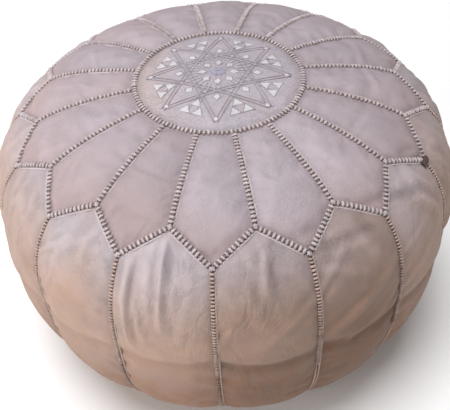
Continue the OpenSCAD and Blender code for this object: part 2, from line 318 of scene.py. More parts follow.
@dataclass
class Track:
    """A line on the pouf that a seam, a lip or a thread follows."""

    route: Route
    lift: float = 0.0
    samples: int = 160
    closed: bool = False
    surface: Shell = SHELL

    @cached_property
    def _run(self) -> tuple[list[float], list[float]]:
        """Returns the parameters sampled and the lengths up to them."""
        steps = [i / self.samples for i in range(self.samples + 1)]
        points = [self.surface.spot(*self.route(t), self.lift) for t in steps]
        lengths = [0.0]
        for a, b in zip(points, points[1:]):
            lengths.append(lengths[-1] + (b - a).length)
        return steps, lengths

    @property
    def length(self) -> float:
        """Returns the track's length."""
        return self._run[1][-1]

    def station(self, length: float, shift: float = 0.0, raised: float = 0.0) -> Station:
        """Returns the place at a length, moved across the track and off the surface."""
        steps, lengths = self._run
        i = min(max(bisect.bisect_right(lengths, length) - 1, 0), len(lengths) - 2)
        t = steps[i] + (steps[i + 1] - steps[i]) * (length - lengths[i]) / (lengths[i + 1] - lengths[i])
        here = self.surface.spot(*self.route(t), self.lift)
        gap = 0.5 / self.samples
        ahead = self.surface.spot(*self.route(t + gap), self.lift)
        behind = self.surface.spot(*self.route(t - gap), self.lift)
        along = (ahead - behind).normalized()
        up = self.surface.up(*self.route(t))
        across = up.cross(along).normalized()
        up = along.cross(across).normalized()
        return Station(here + across * shift + up * raised, along, across, up)


def sweep(bm: bmesh.types.BMesh, stations: Sequence[Station], section: Sequence[tuple[float, float]],
          closed: bool = False, swell: Callable[[int], float] | None = None) -> None:
    """Draws a closed section along stations by extruding its rim from one to the next.

    Args:
        bm: the mesh that it is added to.
        stations: where the section stands in turn.
        section: its corners as (across, up) pairs.
        closed: whether the last rim joins the first.
        swell: the section's scale at each station's index, 1 where it is None.
    """
    spoke = bm.verts.layers.int.get("spoke") or bm.verts.layers.int.new("spoke")
    reach = bm.verts.layers.float.get(Mark.REACH.value) or bm.verts.layers.float.new(Mark.REACH.value)
    half = max(abs(x) for x, _ in section)

    def stand(verts: Sequence[bmesh.types.BMVert], index: int) -> None:
        """Puts a rim's vertices on their station."""
        here, scale = stations[index], swell(index) if swell else 1.0
        for vert in verts:
            x, z = section[vert[spoke]]
            vert.co = here.place + here.across * (x * scale) + here.up * (z * scale)

    rim = bmesh.ops.create_circle(bm, cap_ends=False, segments=len(section), radius=1.0)["verts"]
    for i, vert in enumerate(rim):
        vert[spoke] = i
        vert[reach] = section[i][0] / half
    stand(rim, 0)
    first = edges = list({edge for vert in rim for edge in vert.link_edges})
    for index in range(1, len(stations)):
        made = bmesh.ops.extrude_edge_only(bm, edges=edges)["geom"]
        rim = [item for item in made if isinstance(item, bmesh.types.BMVert)]
        own = set(rim)
        edges = [item for item in made if isinstance(item, bmesh.types.BMEdge) and set(item.verts) <= own]
        stand(rim, index)
    if closed:
        bmesh.ops.bridge_loops(bm, edges=first + edges)
    else:
        bmesh.ops.edgeloop_fill(bm, edges=first)
        bmesh.ops.edgeloop_fill(bm, edges=edges)


def arch(width: float, height: float, corners: int = 8,
         depth: float = 1.2 * MM) -> list[tuple[float, float]]:
    """Returns the section of a welt: an arch on a short foot."""
    turns = [math.pi * i / (corners - 3) for i in range(corners - 2)]
    top = [(width / 2 * math.cos(a), height * math.sin(a) ** 0.75) for a in turns]
    return [(width / 2, -depth), *top, (-width / 2, -depth)]


def disc_section(radius: float, corners: int = 6) -> list[tuple[float, float]]:
    """Returns the section of a round cord."""
    turns = [2 * math.pi * i / corners for i in range(corners)]
    return [(radius * math.cos(a), radius * math.sin(a)) for a in turns]


# ---------------------------------------------------------------- node trees


class Bench:
    """A node tree that is being filled in."""

    def __init__(self, tree: bpy.types.NodeTree) -> None:
        """Keeps the tree."""
        self.tree = tree

    def add(self, kind: str, inputs: dict | None = None, **settings: object) -> bpy.types.Node:
        """Adds a node.

        Args:
            kind: its type, without the "ShaderNode" in front.
            inputs: socket names or numbers, each with a value or an output socket to link.
            **settings: the node's own settings.

        Returns:
            The node.
        """
        node = self.tree.nodes.new("ShaderNode" + kind)
        for name, value in settings.items():
            setattr(node, name, value)
        for name, value in (inputs or {}).items():
            if isinstance(value, bpy.types.NodeSocket):
                self.tree.links.new(value, node.inputs[name])
            else:
                node.inputs[name].default_value = value
        return node

    def maths(self, operation: str, *values: object, clamp: bool = False) -> bpy.types.NodeSocket:
        """Returns the result of a Math node."""
        node = self.add("Math", dict(enumerate(values)), operation=operation, use_clamp=clamp)
        return node.outputs[0]

    def span(self, value: object, low: float, high: float, to_low: float = 0.0,
             to_high: float = 1.0) -> bpy.types.NodeSocket:
        """Returns a value moved smoothly from one range to another."""
        inputs = {"Value": value, "From Min": low, "From Max": high, "To Min": to_low, "To Max": to_high}
        return self.add("MapRange", inputs, interpolation_type="SMOOTHSTEP").outputs["Result"]

    def blend(self, factor: object, first: object, second: object, how: str = "MIX") -> bpy.types.NodeSocket:
        """Returns a mix of two colours."""
        node = self.add("Mix", data_type="RGBA", blend_type=how)
        for socket, value in ((node.inputs[0], factor), (node.inputs[6], first), (node.inputs[7], second)):
            if isinstance(value, bpy.types.NodeSocket):
                self.tree.links.new(value, socket)
            elif isinstance(value, tuple):
                socket.default_value = (*value, 1.0)
            else:
                socket.default_value = value
        return node.outputs[2]

    def mark(self, mark: Mark) -> bpy.types.NodeSocket:
        """Returns a per-vertex value."""
        return self.add("Attribute", attribute_name=mark.value, attribute_type="GEOMETRY").outputs["Fac"]

    def use(self, group: bpy.types.NodeTree, **inputs: object) -> bpy.types.Node:
        """Places a shared effect with its own values."""
        node = self.tree.nodes.new("ShaderNodeGroup")
        node.node_tree = group
        for name, value in inputs.items():
            if isinstance(value, bpy.types.NodeSocket):
                self.tree.links.new(value, node.inputs[name])
            else:
                node.inputs[name].default_value = value
        return node


def new_effect(name: str, inputs: dict[str, float | None], outputs: Sequence[str]
               ) -> tuple[Bench, bpy.types.Node, bpy.types.Node]:
    """Starts a shared effect.

    Args:
        name: the group's name.
        inputs: its inputs, each with a starting value, or None for a vector.
        outputs: its outputs, all of them values.

    Returns:
        The bench, the group's input node and its output node.
    """
    tree = bpy.data.node_groups.new(name, "ShaderNodeTree")
    for label, value in inputs.items():
        kind = "NodeSocketVector" if value is None else "NodeSocketFloat"
        socket = tree.interface.new_socket(label, in_out="INPUT", socket_type=kind)
        if value is not None:
            socket.default_value = value
    for label in outputs:
        tree.interface.new_socket(label, in_out="OUTPUT", socket_type="NodeSocketFloat")
    return Bench(tree), tree.nodes.new("NodeGroupInput"), tree.nodes.new("NodeGroupOutput")


@lru_cache(maxsize=None)
def grain_effect() -> bpy.types.NodeTree:
    """Returns the pebbled grain of a hide: its height, and its pits for the colour."""
    bench, given, out = new_effect("hide_grain", {"Vector": None, "Cell": 420.0}, ("Height", "Pits"))
    vector, cell = given.outputs["Vector"], given.outputs["Cell"]
    wobble = bench.add("TexNoise", {"Vector": vector, "Scale": 160.0, "Detail": 2.0}).outputs["Color"]
    moved = bench.add("VectorMath", {0: wobble, 1: (0.004, 0.004, 0.004)}, operation="MULTIPLY").outputs[0]
    moved = bench.add("VectorMath", {0: vector, 1: moved}, operation="ADD").outputs[0]
    cells = bench.add("TexVoronoi", {"Vector": moved, "Scale": cell}, feature="DISTANCE_TO_EDGE")
    pebble = bench.span(cells.outputs["Distance"], 0.0, 0.34)
    fine = bench.add("TexNoise", {"Vector": vector, "Scale": 900.0, "Detail": 3.0}).outputs["Fac"]
    patch = bench.add("TexNoise", {"Vector": vector, "Scale": 24.0, "Detail": 3.0}).outputs["Fac"]
    strength = bench.span(patch, 0.32, 0.66, 0.35, 1.0)
    raised = bench.maths("MULTIPLY", pebble, strength)
    bench.tree.links.new(bench.maths("MULTIPLY_ADD", fine, 0.35, raised), out.inputs["Height"])
    pits = bench.maths("MULTIPLY", bench.maths("SUBTRACT", 1.0, pebble), strength)
    bench.tree.links.new(pits, out.inputs["Pits"])
    return bench.tree


@lru_cache(maxsize=None)
def clouds_effect() -> bpy.types.NodeTree:
    """Returns the uneven dye of a hide: broad clouds and smaller mottling."""
    bench, given, out = new_effect("hide_clouds", {"Vector": None, "Size": 7.0}, ("Broad", "Mottle"))
    vector, size = given.outputs["Vector"], given.outputs["Size"]
    broad = bench.add("TexNoise", {"Vector": vector, "Scale": size, "Detail": 4.0, "Distortion": 0.6})
    small_size = bench.maths("MULTIPLY", size, 6.5)
    small = bench.add("TexNoise", {"Vector": vector, "Scale": small_size, "Detail": 6.0, "Roughness": 0.62})
    bench.tree.links.new(bench.span(broad.outputs["Fac"], 0.32, 0.68), out.inputs["Broad"])
    bench.tree.links.new(bench.span(small.outputs["Fac"], 0.3, 0.7), out.inputs["Mottle"])
    return bench.tree


@lru_cache(maxsize=None)
def wrinkle_effect() -> bpy.types.NodeTree:
    """Returns fine wrinkles that come in patches: their height, and their lines, which the finish darkens as
    painted shade in the creases.
    """
    bench, given, out = new_effect(
        "hide_wrinkles", {"Vector": None, "Fineness": 34.0, "Patches": 9.0}, ("Height", "Lines"))
    vector, fineness = given.outputs["Vector"], given.outputs["Fineness"]
    sway = bench.add("TexNoise", {"Vector": vector, "Scale": 7.0, "Detail": 2.0}).outputs["Color"]
    sway = bench.add("VectorMath", {0: sway, 1: (0.09, 0.09, 0.09)}, operation="MULTIPLY").outputs[0]
    bent = bench.add("VectorMath", {0: vector, 1: sway}, operation="ADD").outputs[0]
    total, creased = None, None
    for turn, squeeze in ((0.25, 0.22), (1.05, 0.3), (-0.75, 0.26)):
        laid = bench.add("Mapping", {"Vector": bent, "Rotation": (turn, turn, 0.0),
                                     "Scale": (1.0, 1.0, squeeze)}).outputs[0]
        run = bench.add("TexNoise", {"Vector": laid, "Scale": fineness, "Detail": 3.0,
                                     "Roughness": 0.55}).outputs["Fac"]
        off = bench.maths("ABSOLUTE", bench.maths("SUBTRACT", run, 0.5))
        patches = bench.add("TexNoise", {"Vector": laid, "Scale": given.outputs["Patches"], "Detail": 1.0})
        where = bench.span(patches.outputs["Fac"], 0.50, 0.64)
        line = bench.maths("MULTIPLY", bench.span(off, 0.0, 0.035, 1.0, 0.0), where)
        dent = bench.maths("MULTIPLY", bench.span(off, 0.0, 0.08, 1.0, 0.0), where)
        total = line if total is None else bench.maths("MAXIMUM", total, line)
        creased = dent if creased is None else bench.maths("MAXIMUM", creased, dent)
    bench.tree.links.new(total, out.inputs["Lines"])
    bench.tree.links.new(bench.maths("SUBTRACT", 1.0, creased), out.inputs["Height"])
    return bench.tree


@lru_cache(maxsize=None)
def strand_effect() -> bpy.types.NodeTree:
    """Returns the strands of a twisted thread: their height and their shade."""
    bench, given, out = new_effect("thread_strands", {"Vector": None, "Count": 900.0}, ("Height", "Shade"))
    turned = bench.add("Mapping", {"Vector": given.outputs["Vector"],
                                   "Rotation": (0.6, 0.4, 0.9)}).outputs[0]
    wave = bench.add("TexWave", {"Vector": turned, "Scale": given.outputs["Count"], "Distortion": 2.5,
                                 "Detail": 2.0, "Detail Scale": 1.5}).outputs["Fac"]
    fluff = bench.add("TexNoise", {"Vector": given.outputs["Vector"], "Scale": 700.0, "Detail": 3.0})
    both = bench.maths("MULTIPLY_ADD", fluff.outputs["Fac"], 0.5, wave)
    bench.tree.links.new(both, out.inputs["Height"])
    bench.tree.links.new(bench.span(wave, 0.1, 0.9), out.inputs["Shade"])
    return bench.tree


def new_finish(name: str) -> tuple[Bench, bpy.types.Node, bpy.types.NodeSocket]:
    """Starts a material.

    Returns:
        The bench, its Principled shader and the object coordinates.
    """
    material = bpy.data.materials.new(name)
    material.use_nodes = True
    bench = Bench(material.node_tree)
    shader = material.node_tree.nodes["Principled BSDF"]
    coords = bench.add("TexCoord").outputs["Object"]
    return bench, shader, coords


def raise_surface(bench: Bench, shader: bpy.types.Node, height: bpy.types.NodeSocket, distance: float,
                  strength: float = 1.0) -> None:
    """Feeds a height to the shader's normal."""
    bump = bench.add("Bump", {"Height": height, "Distance": distance, "Strength": strength})
    bench.tree.links.new(bump.outputs["Normal"], shader.inputs["Normal"])


def material_of(bench: Bench) -> bpy.types.Material:
    """Returns the material whose tree is on the bench."""
    return next(m for m in bpy.data.materials if m.node_tree == bench.tree)


@dataclass(frozen=True)
class LeatherFinish:
    """Undyed soft goat hide, cool high up, warm tan lower down and dark brown towards the base: partly its
    own colour, partly painted light, with cool light on top and painted shade low on the side.
    """

    name: str
    cool: Colour
    warm: Colour
    deep: Colour
    warm_from: float = 0.330
    warm_to: float = 0.250
    deep_from: float = 0.205
    deep_to: float = 0.090
    roughness: float = 0.56
    grain: float = 0.18 * MM
    wrinkle: float = 0.9 * MM
    seam_shade: float = 0.14
    mottling: float = 0.10
    clouding: float = 0.6
    blush_warmth: float = 0.3
    line_shade: float = 0.11
    deep_drift: float = 0.0
    speckle: float = 0.0

    def build(self) -> bpy.types.Material:
        """Returns the material."""
        bench, shader, coords = new_finish(self.name)
        height = bench.add("SeparateXYZ", {"Vector": coords}).outputs["Z"]
        clouds = bench.use(clouds_effect(), Vector=coords)
        grain = bench.use(grain_effect(), Vector=coords)
        wrinkles = bench.use(wrinkle_effect(), Vector=coords)
        broad, mottle = clouds.outputs["Broad"], clouds.outputs["Mottle"]
        # Cool high up and warm tan lower down: partly the hide's own colour, partly painted light, the cool
        # of the light from above and the warm painted shade below.
        warmth = bench.span(height, self.warm_to, self.warm_from, 1.0, 0.0)
        drift = bench.maths("MULTIPLY", bench.maths("SUBTRACT", broad, 0.5), self.clouding)
        # Per-panel warmth; on the side panels it also carries the warmer painted shade on the right, where
        # it also raises the dark base colour.
        drift = bench.maths("MULTIPLY_ADD", bench.mark(Mark.BLUSH), self.blush_warmth, drift)
        warmth = bench.maths("ADD", warmth, drift, clamp=True)
        colour = bench.blend(warmth, self.cool, self.warm)
        # Dark brown towards the base: partly the hide's own colour, partly painted shade on the tucked-under
        # side.
        sunk = bench.maths("MULTIPLY_ADD", bench.mark(Mark.BLUSH), -self.deep_drift, height)
        depth = bench.span(sunk, self.deep_to, self.deep_from, 1.0, 0.0)
        streak = bench.maths("MULTIPLY", bench.maths("SUBTRACT", mottle, 0.5), 0.4)
        depth = bench.maths("MULTIPLY", depth, bench.maths("ADD", streak, 1.0))
        # Under the soft crease the colour goes deeper: painted shade under the bulge, then a darker tan
        # below it.
        depth = bench.maths("MULTIPLY_ADD", bench.mark(Mark.FOLD), 0.28, depth, clamp=True)
        colour = bench.blend(depth, colour, self.deep)
        # Per-panel tone; on the side panels it also carries painted shade, darkest on the right.
        tone = bench.maths("MULTIPLY_ADD", bench.mark(Mark.TONE), 0.11, 1.0)
        tone = bench.maths("MULTIPLY_ADD", bench.maths("SUBTRACT", mottle, 0.5), self.mottling, tone)
        if self.speckle:
            dots = bench.add("TexNoise", {"Vector": coords, "Scale": 520.0, "Detail": 2.0}).outputs["Fac"]
            tone = bench.maths("MULTIPLY_ADD", bench.maths("SUBTRACT", dots, 0.5), self.speckle, tone)
        # Darker near the seams; the same mark also carries painted shade in the pucker valleys and a painted
        # highlight on their ridges.
        seam = bench.maths("MULTIPLY", bench.mark(Mark.SEAM), self.seam_shade)
        tone = bench.maths("SUBTRACT", tone, seam)
        # Painted shade under the soft crease, which also darkens the tan below it.
        tone = bench.maths("MULTIPLY_ADD", bench.mark(Mark.FOLD), -0.07, tone)
        # Painted shade in the wrinkle creases.
        lines = bench.maths("MULTIPLY", wrinkles.outputs["Lines"], self.line_shade)
        tone = bench.maths("SUBTRACT", tone, lines)
        pits = bench.maths("MULTIPLY", grain.outputs["Pits"], 0.07)
        tone = bench.maths("SUBTRACT", tone, pits)
        shade = bench.add("CombineColor", {0: tone, 1: tone, 2: tone}).outputs[0]
        colour = bench.blend(1.0, colour, shade, "MULTIPLY")
        bench.tree.links.new(colour, shader.inputs["Base Color"])
        rough = bench.maths("MULTIPLY_ADD", mottle, 0.14, self.roughness)
        bench.tree.links.new(rough, shader.inputs["Roughness"])
        shader.inputs["Specular IOR Level"].default_value = 0.42
        fine = bench.maths("MULTIPLY", grain.outputs["Height"], self.grain)
        total = bench.maths("MULTIPLY_ADD", wrinkles.outputs["Height"], self.wrinkle * 0.5, fine)
        total = bench.maths("MULTIPLY_ADD", mottle, 0.2 * MM, total)
        raise_surface(bench, shader, total, 1.0)
        return material_of(bench)


@dataclass(frozen=True)
class ThreadFinish:
    """Twisted silky thread."""

    name: str
    colour: Colour
    shadow: Colour
    roughness: float = 0.5
    strands: float = 900.0

    def build(self) -> bpy.types.Material:
        """Returns the material."""
        bench, shader, coords = new_finish(self.name)
        strand = bench.use(strand_effect(), Vector=coords, Count=self.strands)
        colour = bench.blend(strand.outputs["Shade"], self.shadow, self.colour)
        tone = bench.maths("MULTIPLY_ADD", bench.mark(Mark.TONE), 0.16, 0.97)
        shade = bench.add("CombineColor", {0: tone, 1: tone, 2: tone}).outputs[0]
        colour = bench.blend(1.0, colour, shade, "MULTIPLY")
        bench.tree.links.new(colour, shader.inputs["Base Color"])
        shader.inputs["Roughness"].default_value = self.roughness
        shader.inputs["Sheen Weight"].default_value = 0.06
        raise_surface(bench, shader, strand.outputs["Height"], 0.2 * MM)
        return material_of(bench)


@dataclass(frozen=True)
class WeltFinish:
    """A folded welt: leather on its flanks, with painted shade in the gaps between and under the stitches,
    darkest by the stitch holes.
    """

    name: str
    leather: Colour
    gap: Colour
    crest_shade: Colour
    edge: float = 0.86

    def build(self) -> bpy.types.Material:
        """Returns the material."""
        bench, shader, coords = new_finish(self.name)
        clouds = bench.use(clouds_effect(), Vector=coords, Size=16.0)
        grain = bench.use(grain_effect(), Vector=coords)
        side = bench.maths("ABSOLUTE", bench.mark(Mark.REACH))
        flank = bench.span(side, self.edge - 0.12, self.edge + 0.06)
        worn = bench.maths("MULTIPLY", clouds.outputs["Mottle"], 0.22)
        # Painted shade between the stitches: dark at the crest and darkest towards the stitch holes, broken
        # by mottled patches of leather.
        gap = bench.blend(bench.span(side, 0.15, 0.55), self.crest_shade, self.gap)
        gap = bench.blend(worn, gap, self.leather)
        colour = bench.blend(flank, gap, self.leather)
        bench.tree.links.new(colour, shader.inputs["Base Color"])
        rough = bench.maths("MULTIPLY_ADD", clouds.outputs["Mottle"], 0.2, 0.55)
        bench.tree.links.new(rough, shader.inputs["Roughness"])
        raise_surface(bench, shader, grain.outputs["Height"], 0.15 * MM)
        return material_of(bench)


@dataclass(frozen=True)
class ClothFinish:
    """Woven cotton, as on the zip's tape and the filling."""

    name: str
    colour: Colour
    shadow: Colour
    threads: float = 1500.0

    def build(self) -> bpy.types.Material:
        """Returns the material."""
        bench, shader, coords = new_finish(self.name)
        warp = bench.add("TexWave", {"Vector": coords, "Scale": self.threads / 6, "Distortion": 0.4},
                         bands_direction="X").outputs["Fac"]
        weft = bench.add("TexWave", {"Vector": coords, "Scale": self.threads / 6, "Distortion": 0.4},
                         bands_direction="Y").outputs["Fac"]
        weave = bench.maths("MAXIMUM", warp, weft)
        lint = bench.add("TexNoise", {"Vector": coords, "Scale": 90.0, "Detail": 5.0}).outputs["Fac"]
        colour = bench.blend(weave, self.shadow, self.colour)
        colour = bench.blend(bench.span(lint, 0.3, 0.75, 0.0, 0.35), colour, self.shadow)
        bench.tree.links.new(colour, shader.inputs["Base Color"])
        rough = bench.maths("MULTIPLY_ADD", lint, 0.15, 0.78)
        bench.tree.links.new(rough, shader.inputs["Roughness"])
        raise_surface(bench, shader, weave, 0.15 * MM)
        return material_of(bench)


@dataclass(frozen=True)
class HardFinish:
    """Moulded resin or plated metal, with fine scratches and worn patches."""

    name: str
    colour: Colour
    worn: Colour
    metallic: float
    roughness: float

    def build(self) -> bpy.types.Material:
        """Returns the material."""
        bench, shader, coords = new_finish(self.name)
        patch = bench.add("TexNoise", {"Vector": coords, "Scale": 160.0, "Detail": 5.0}).outputs["Fac"]
        drawn = bench.add("Mapping", {"Vector": coords, "Scale": (1.0, 0.12, 1.0)}).outputs[0]
        scratch = bench.add("TexNoise", {"Vector": drawn, "Scale": 2600.0, "Detail": 2.0}).outputs["Fac"]
        colour = bench.blend(bench.span(patch, 0.42, 0.7), self.colour, self.worn)
        bench.tree.links.new(colour, shader.inputs["Base Color"])
        rough = bench.maths("MULTIPLY_ADD", scratch, 0.22, self.roughness)
        bench.tree.links.new(rough, shader.inputs["Roughness"])
        shader.inputs["Metallic"].default_value = self.metallic
        raise_surface(bench, shader, scratch, 0.03 * MM)
        return material_of(bench)


@dataclass
class Finishes:
    """Every material of the pouf, built once."""

    top: bpy.types.Material = field(init=False)
    side: bpy.types.Material = field(init=False)
    medallion: bpy.types.Material = field(init=False)
    base: bpy.types.Material = field(init=False)
    inlay: bpy.types.Material = field(init=False)
    lip: bpy.types.Material = field(init=False)
    welt: bpy.types.Material = field(init=False)
    side_welt: bpy.types.Material = field(init=False)
    pale: bpy.types.Material = field(init=False)
    tan: bpy.types.Material = field(init=False)
    brown: bpy.types.Material = field(init=False)
    lavender: bpy.types.Material = field(init=False)
    lilac: bpy.types.Material = field(init=False)
    ecru: bpy.types.Material = field(init=False)
    white_thread: bpy.types.Material = field(init=False)
    dark: bpy.types.Material = field(init=False)
    tape: bpy.types.Material = field(init=False)
    resin: bpy.types.Material = field(init=False)
    metal: bpy.types.Material = field(init=False)
    cotton: bpy.types.Material = field(init=False)

    def __post_init__(self) -> None:
        """Builds the materials."""
        cool, warm, deep = (0.415, 0.362, 0.385), (0.440, 0.290, 0.222), (0.262, 0.129, 0.070)
        self.top = LeatherFinish("aged_top_leather", (0.385, 0.331, 0.360), (0.385, 0.293, 0.292), deep,
                                 0.356, 0.312,
                                 wrinkle=0.35 * MM, clouding=0.4, line_shade=0.045, mottling=0.09).build()
        self.side = LeatherFinish("tan_side_leather", cool, warm, deep, 0.350, 0.240, 0.238, 0.095,
                                  wrinkle=0.65 * MM, mottling=0.17, clouding=0.4, line_shade=0.08,
                                  blush_warmth=0.16, deep_drift=0.045).build()
        self.medallion = LeatherFinish("medallion_leather", (0.385, 0.342, 0.378), (0.42, 0.345, 0.33), deep,
                                       wrinkle=0.3 * MM, speckle=0.7).build()
        self.base = LeatherFinish("base_leather", cool, warm, (0.30, 0.19, 0.14)).build()
        self.inlay = LeatherFinish("white_inlay_leather", (0.55, 0.53, 0.55), (0.55, 0.52, 0.52), deep,
                                   wrinkle=0.1 * MM, roughness=0.48).build()
        # The lip leather is paler than the panels: a painted highlight on the folded edge beside the seams.
        self.lip = LeatherFinish("seam_lip_leather", (0.475, 0.41, 0.42), (0.50, 0.355, 0.285),
                                 (0.37, 0.215, 0.145), deep_from=0.21, deep_to=0.08).build()
        # The welts' gap and crest colours are painted shade between and under the stitches.
        self.welt = WeltFinish("stitched_welt", (0.36, 0.275, 0.262), (0.075, 0.045, 0.038),
                               (0.165, 0.12, 0.115)).build()
        self.side_welt = WeltFinish("side_seam_welt", (0.36, 0.225, 0.165), (0.050, 0.026, 0.018),
                                    (0.085, 0.045, 0.032)).build()
        self.pale = ThreadFinish("pale_thread", (0.69, 0.60, 0.605), (0.50, 0.42, 0.43)).build()
        self.tan = ThreadFinish("tan_thread", (0.63, 0.475, 0.415), (0.43, 0.30, 0.25)).build()
        self.brown = ThreadFinish("brown_thread", (0.45, 0.315, 0.255), (0.27, 0.175, 0.135)).build()
        self.lavender = ThreadFinish("lavender_thread", (0.43, 0.375, 0.42), (0.30, 0.255, 0.295)).build()
        self.lilac = ThreadFinish("lilac_thread", (0.54, 0.51, 0.64), (0.42, 0.39, 0.49)).build()
        self.white_thread = ThreadFinish("white_thread", (0.70, 0.67, 0.70), (0.55, 0.52, 0.55)).build()
        self.ecru = ThreadFinish("ecru_thread", (0.58, 0.52, 0.55), (0.47, 0.41, 0.44)).build()
        self.dark = ThreadFinish("dark_thread", (0.16, 0.10, 0.085), (0.07, 0.045, 0.04)).build()
        self.tape = ClothFinish("zip_tape_cloth", (0.28, 0.20, 0.16), (0.14, 0.09, 0.07)).build()
        self.resin = HardFinish("zip_resin", (0.18, 0.12, 0.09), (0.26, 0.18, 0.14), 0.0, 0.34).build()
        self.metal = HardFinish("zip_metal", (0.72, 0.58, 0.34), (0.50, 0.38, 0.22), 1.0, 0.24).build()
        self.cotton = ClothFinish("cotton_filling", (0.85, 0.82, 0.75), (0.7, 0.66, 0.58), 500.0).build()


# ---------------------------------------------------------------- the stage


@dataclass(frozen=True)
class Studio:
    """A pale floor, soft light from the left, and the camera."""

    lens: float = 56.0
    sensor: float = 36.0
    elevation: float = 45.43
    azimuth: float = 4.04
    distance: float = 0.9219
    roll: float = -3.42
    aim_x: float = -0.00133
    aim_z: float = 0.15421
    floor_size: float = 12.0

    def build(self) -> None:
        """Makes the camera, the lights and the floor."""
        self._camera()
        self._lights()
        self._floor()
        bpy.context.scene.view_settings.view_transform = "Standard"

    def _camera(self) -> None:
        """Places the camera on its aim, with its roll."""
        e, a, roll = map(math.radians, (self.elevation, self.azimuth, self.roll))
        back = Vector((math.cos(e) * math.sin(a), -math.cos(e) * math.cos(a), math.sin(e)))
        right = (-back).cross(Vector((0, 0, 1))).normalized()
        upward = right.cross(-back)
        side = right * math.cos(roll) + upward * math.sin(roll)
        top = upward * math.cos(roll) - right * math.sin(roll)
        aim = Vector((self.aim_x * math.cos(a), self.aim_x * math.sin(a), self.aim_z))
        turn = Matrix((side, top, back)).transposed().to_4x4()
        data = bpy.data.cameras.new("camera")
        data.lens, data.sensor_width = self.lens, self.sensor
        data.clip_start, data.clip_end = 0.05, 50.0
        camera = bpy.data.objects.new("camera", data)
        camera.matrix_world = Matrix.Translation(aim + back * self.distance) @ turn
        bpy.context.scene.collection.objects.link(camera)
        bpy.context.scene.camera = camera

    def _lamp(self, name: str, place: Colour, size: float, power: float, colour: Colour) -> None:
        """Adds one soft lamp that faces the pouf."""
        data = bpy.data.lights.new(name, "AREA")
        data.shape, data.size, data.energy, data.color = "DISK", size, power, colour
        lamp = bpy.data.objects.new(name, data)
        lamp.location = place
        lamp.rotation_euler = (Vector((0, 0, 0.2)) - Vector(place)).to_track_quat("-Z", "Y").to_euler()
        bpy.context.scene.collection.objects.link(lamp)

    def _lights(self) -> None:
        """Adds the lamps and an even sky."""
        self._lamp("key", (-2.9, -1.5, 0.95), 1.5, 58.0, (1.0, 0.98, 0.95))
        self._lamp("top", (-0.35, -0.25, 3.2), 2.0, 99.0, (0.98, 0.98, 1.0))
        world = bpy.data.worlds.new("studio")
        world.use_nodes = True
        sky = world.node_tree.nodes["Background"]
        sky.inputs["Color"].default_value = (1.0, 0.98, 0.97, 1.0)
        sky.inputs["Strength"].default_value = 0.28
        bpy.context.scene.world = world

    def _floor(self) -> None:
        """Adds the floor, which isn't part of the pouf."""
        bm = bmesh.new()
        bmesh.ops.create_grid(bm, x_segments=8, y_segments=8, size=self.floor_size / 2)
        bmesh.ops.translate(bm, vec=(0, 0, -0.2 * MM), verts=bm.verts)
        mesh = bpy.data.meshes.new("floor")
        bm.to_mesh(mesh)
        bm.free()
        floor = bpy.data.objects.new("floor", mesh)
        bpy.context.scene.collection.objects.link(floor)
        bench, shader, coords = new_finish("studio_floor")
        speck = bench.add("TexNoise", {"Vector": coords, "Scale": 3.0, "Detail": 2.0}).outputs["Fac"]
        paint = bench.blend(speck, (0.96, 0.96, 0.96), (0.98, 0.98, 0.98))
        bench.tree.links.new(paint, shader.inputs["Base Color"])
        shader.inputs["Roughness"].default_value = 0.9
        shader.inputs["Specular IOR Level"].default_value = 0.1
        mesh.materials.append(material_of(bench))


# ---------------------------------------------------------------- the cover


@dataclass(frozen=True)
class Fold:
    """A pucker: a ridge between two valleys, along a line on the cover.

    Its turn is 0 where it runs down the cover and 90 where it runs round it.
    """

    azimuth: float
    arc: float
    turn: float
    length: float
    width: float
    height: float

    def lift(self, azimuth: float, arc: float, radius: float) -> float:
        """Returns how far it lifts the cover at a point."""
        x = math.radians((azimuth - self.azimuth + 180) % 360 - 180) * radius
        y = arc - self.arc
        c, s = math.cos(math.radians(self.turn)), math.sin(math.radians(self.turn))
        along, off = y * c + x * s, x * c - y * s
        if abs(along) > self.length or abs(off) > 3 * self.width:
            return 0.0
        reach = 1 - smoothstep(0.35, 1.0, abs(along) / self.length)
        ratio = off / self.width
        return self.height * reach * (1 - 1.6 * ratio * ratio) * math.exp(-ratio * ratio)


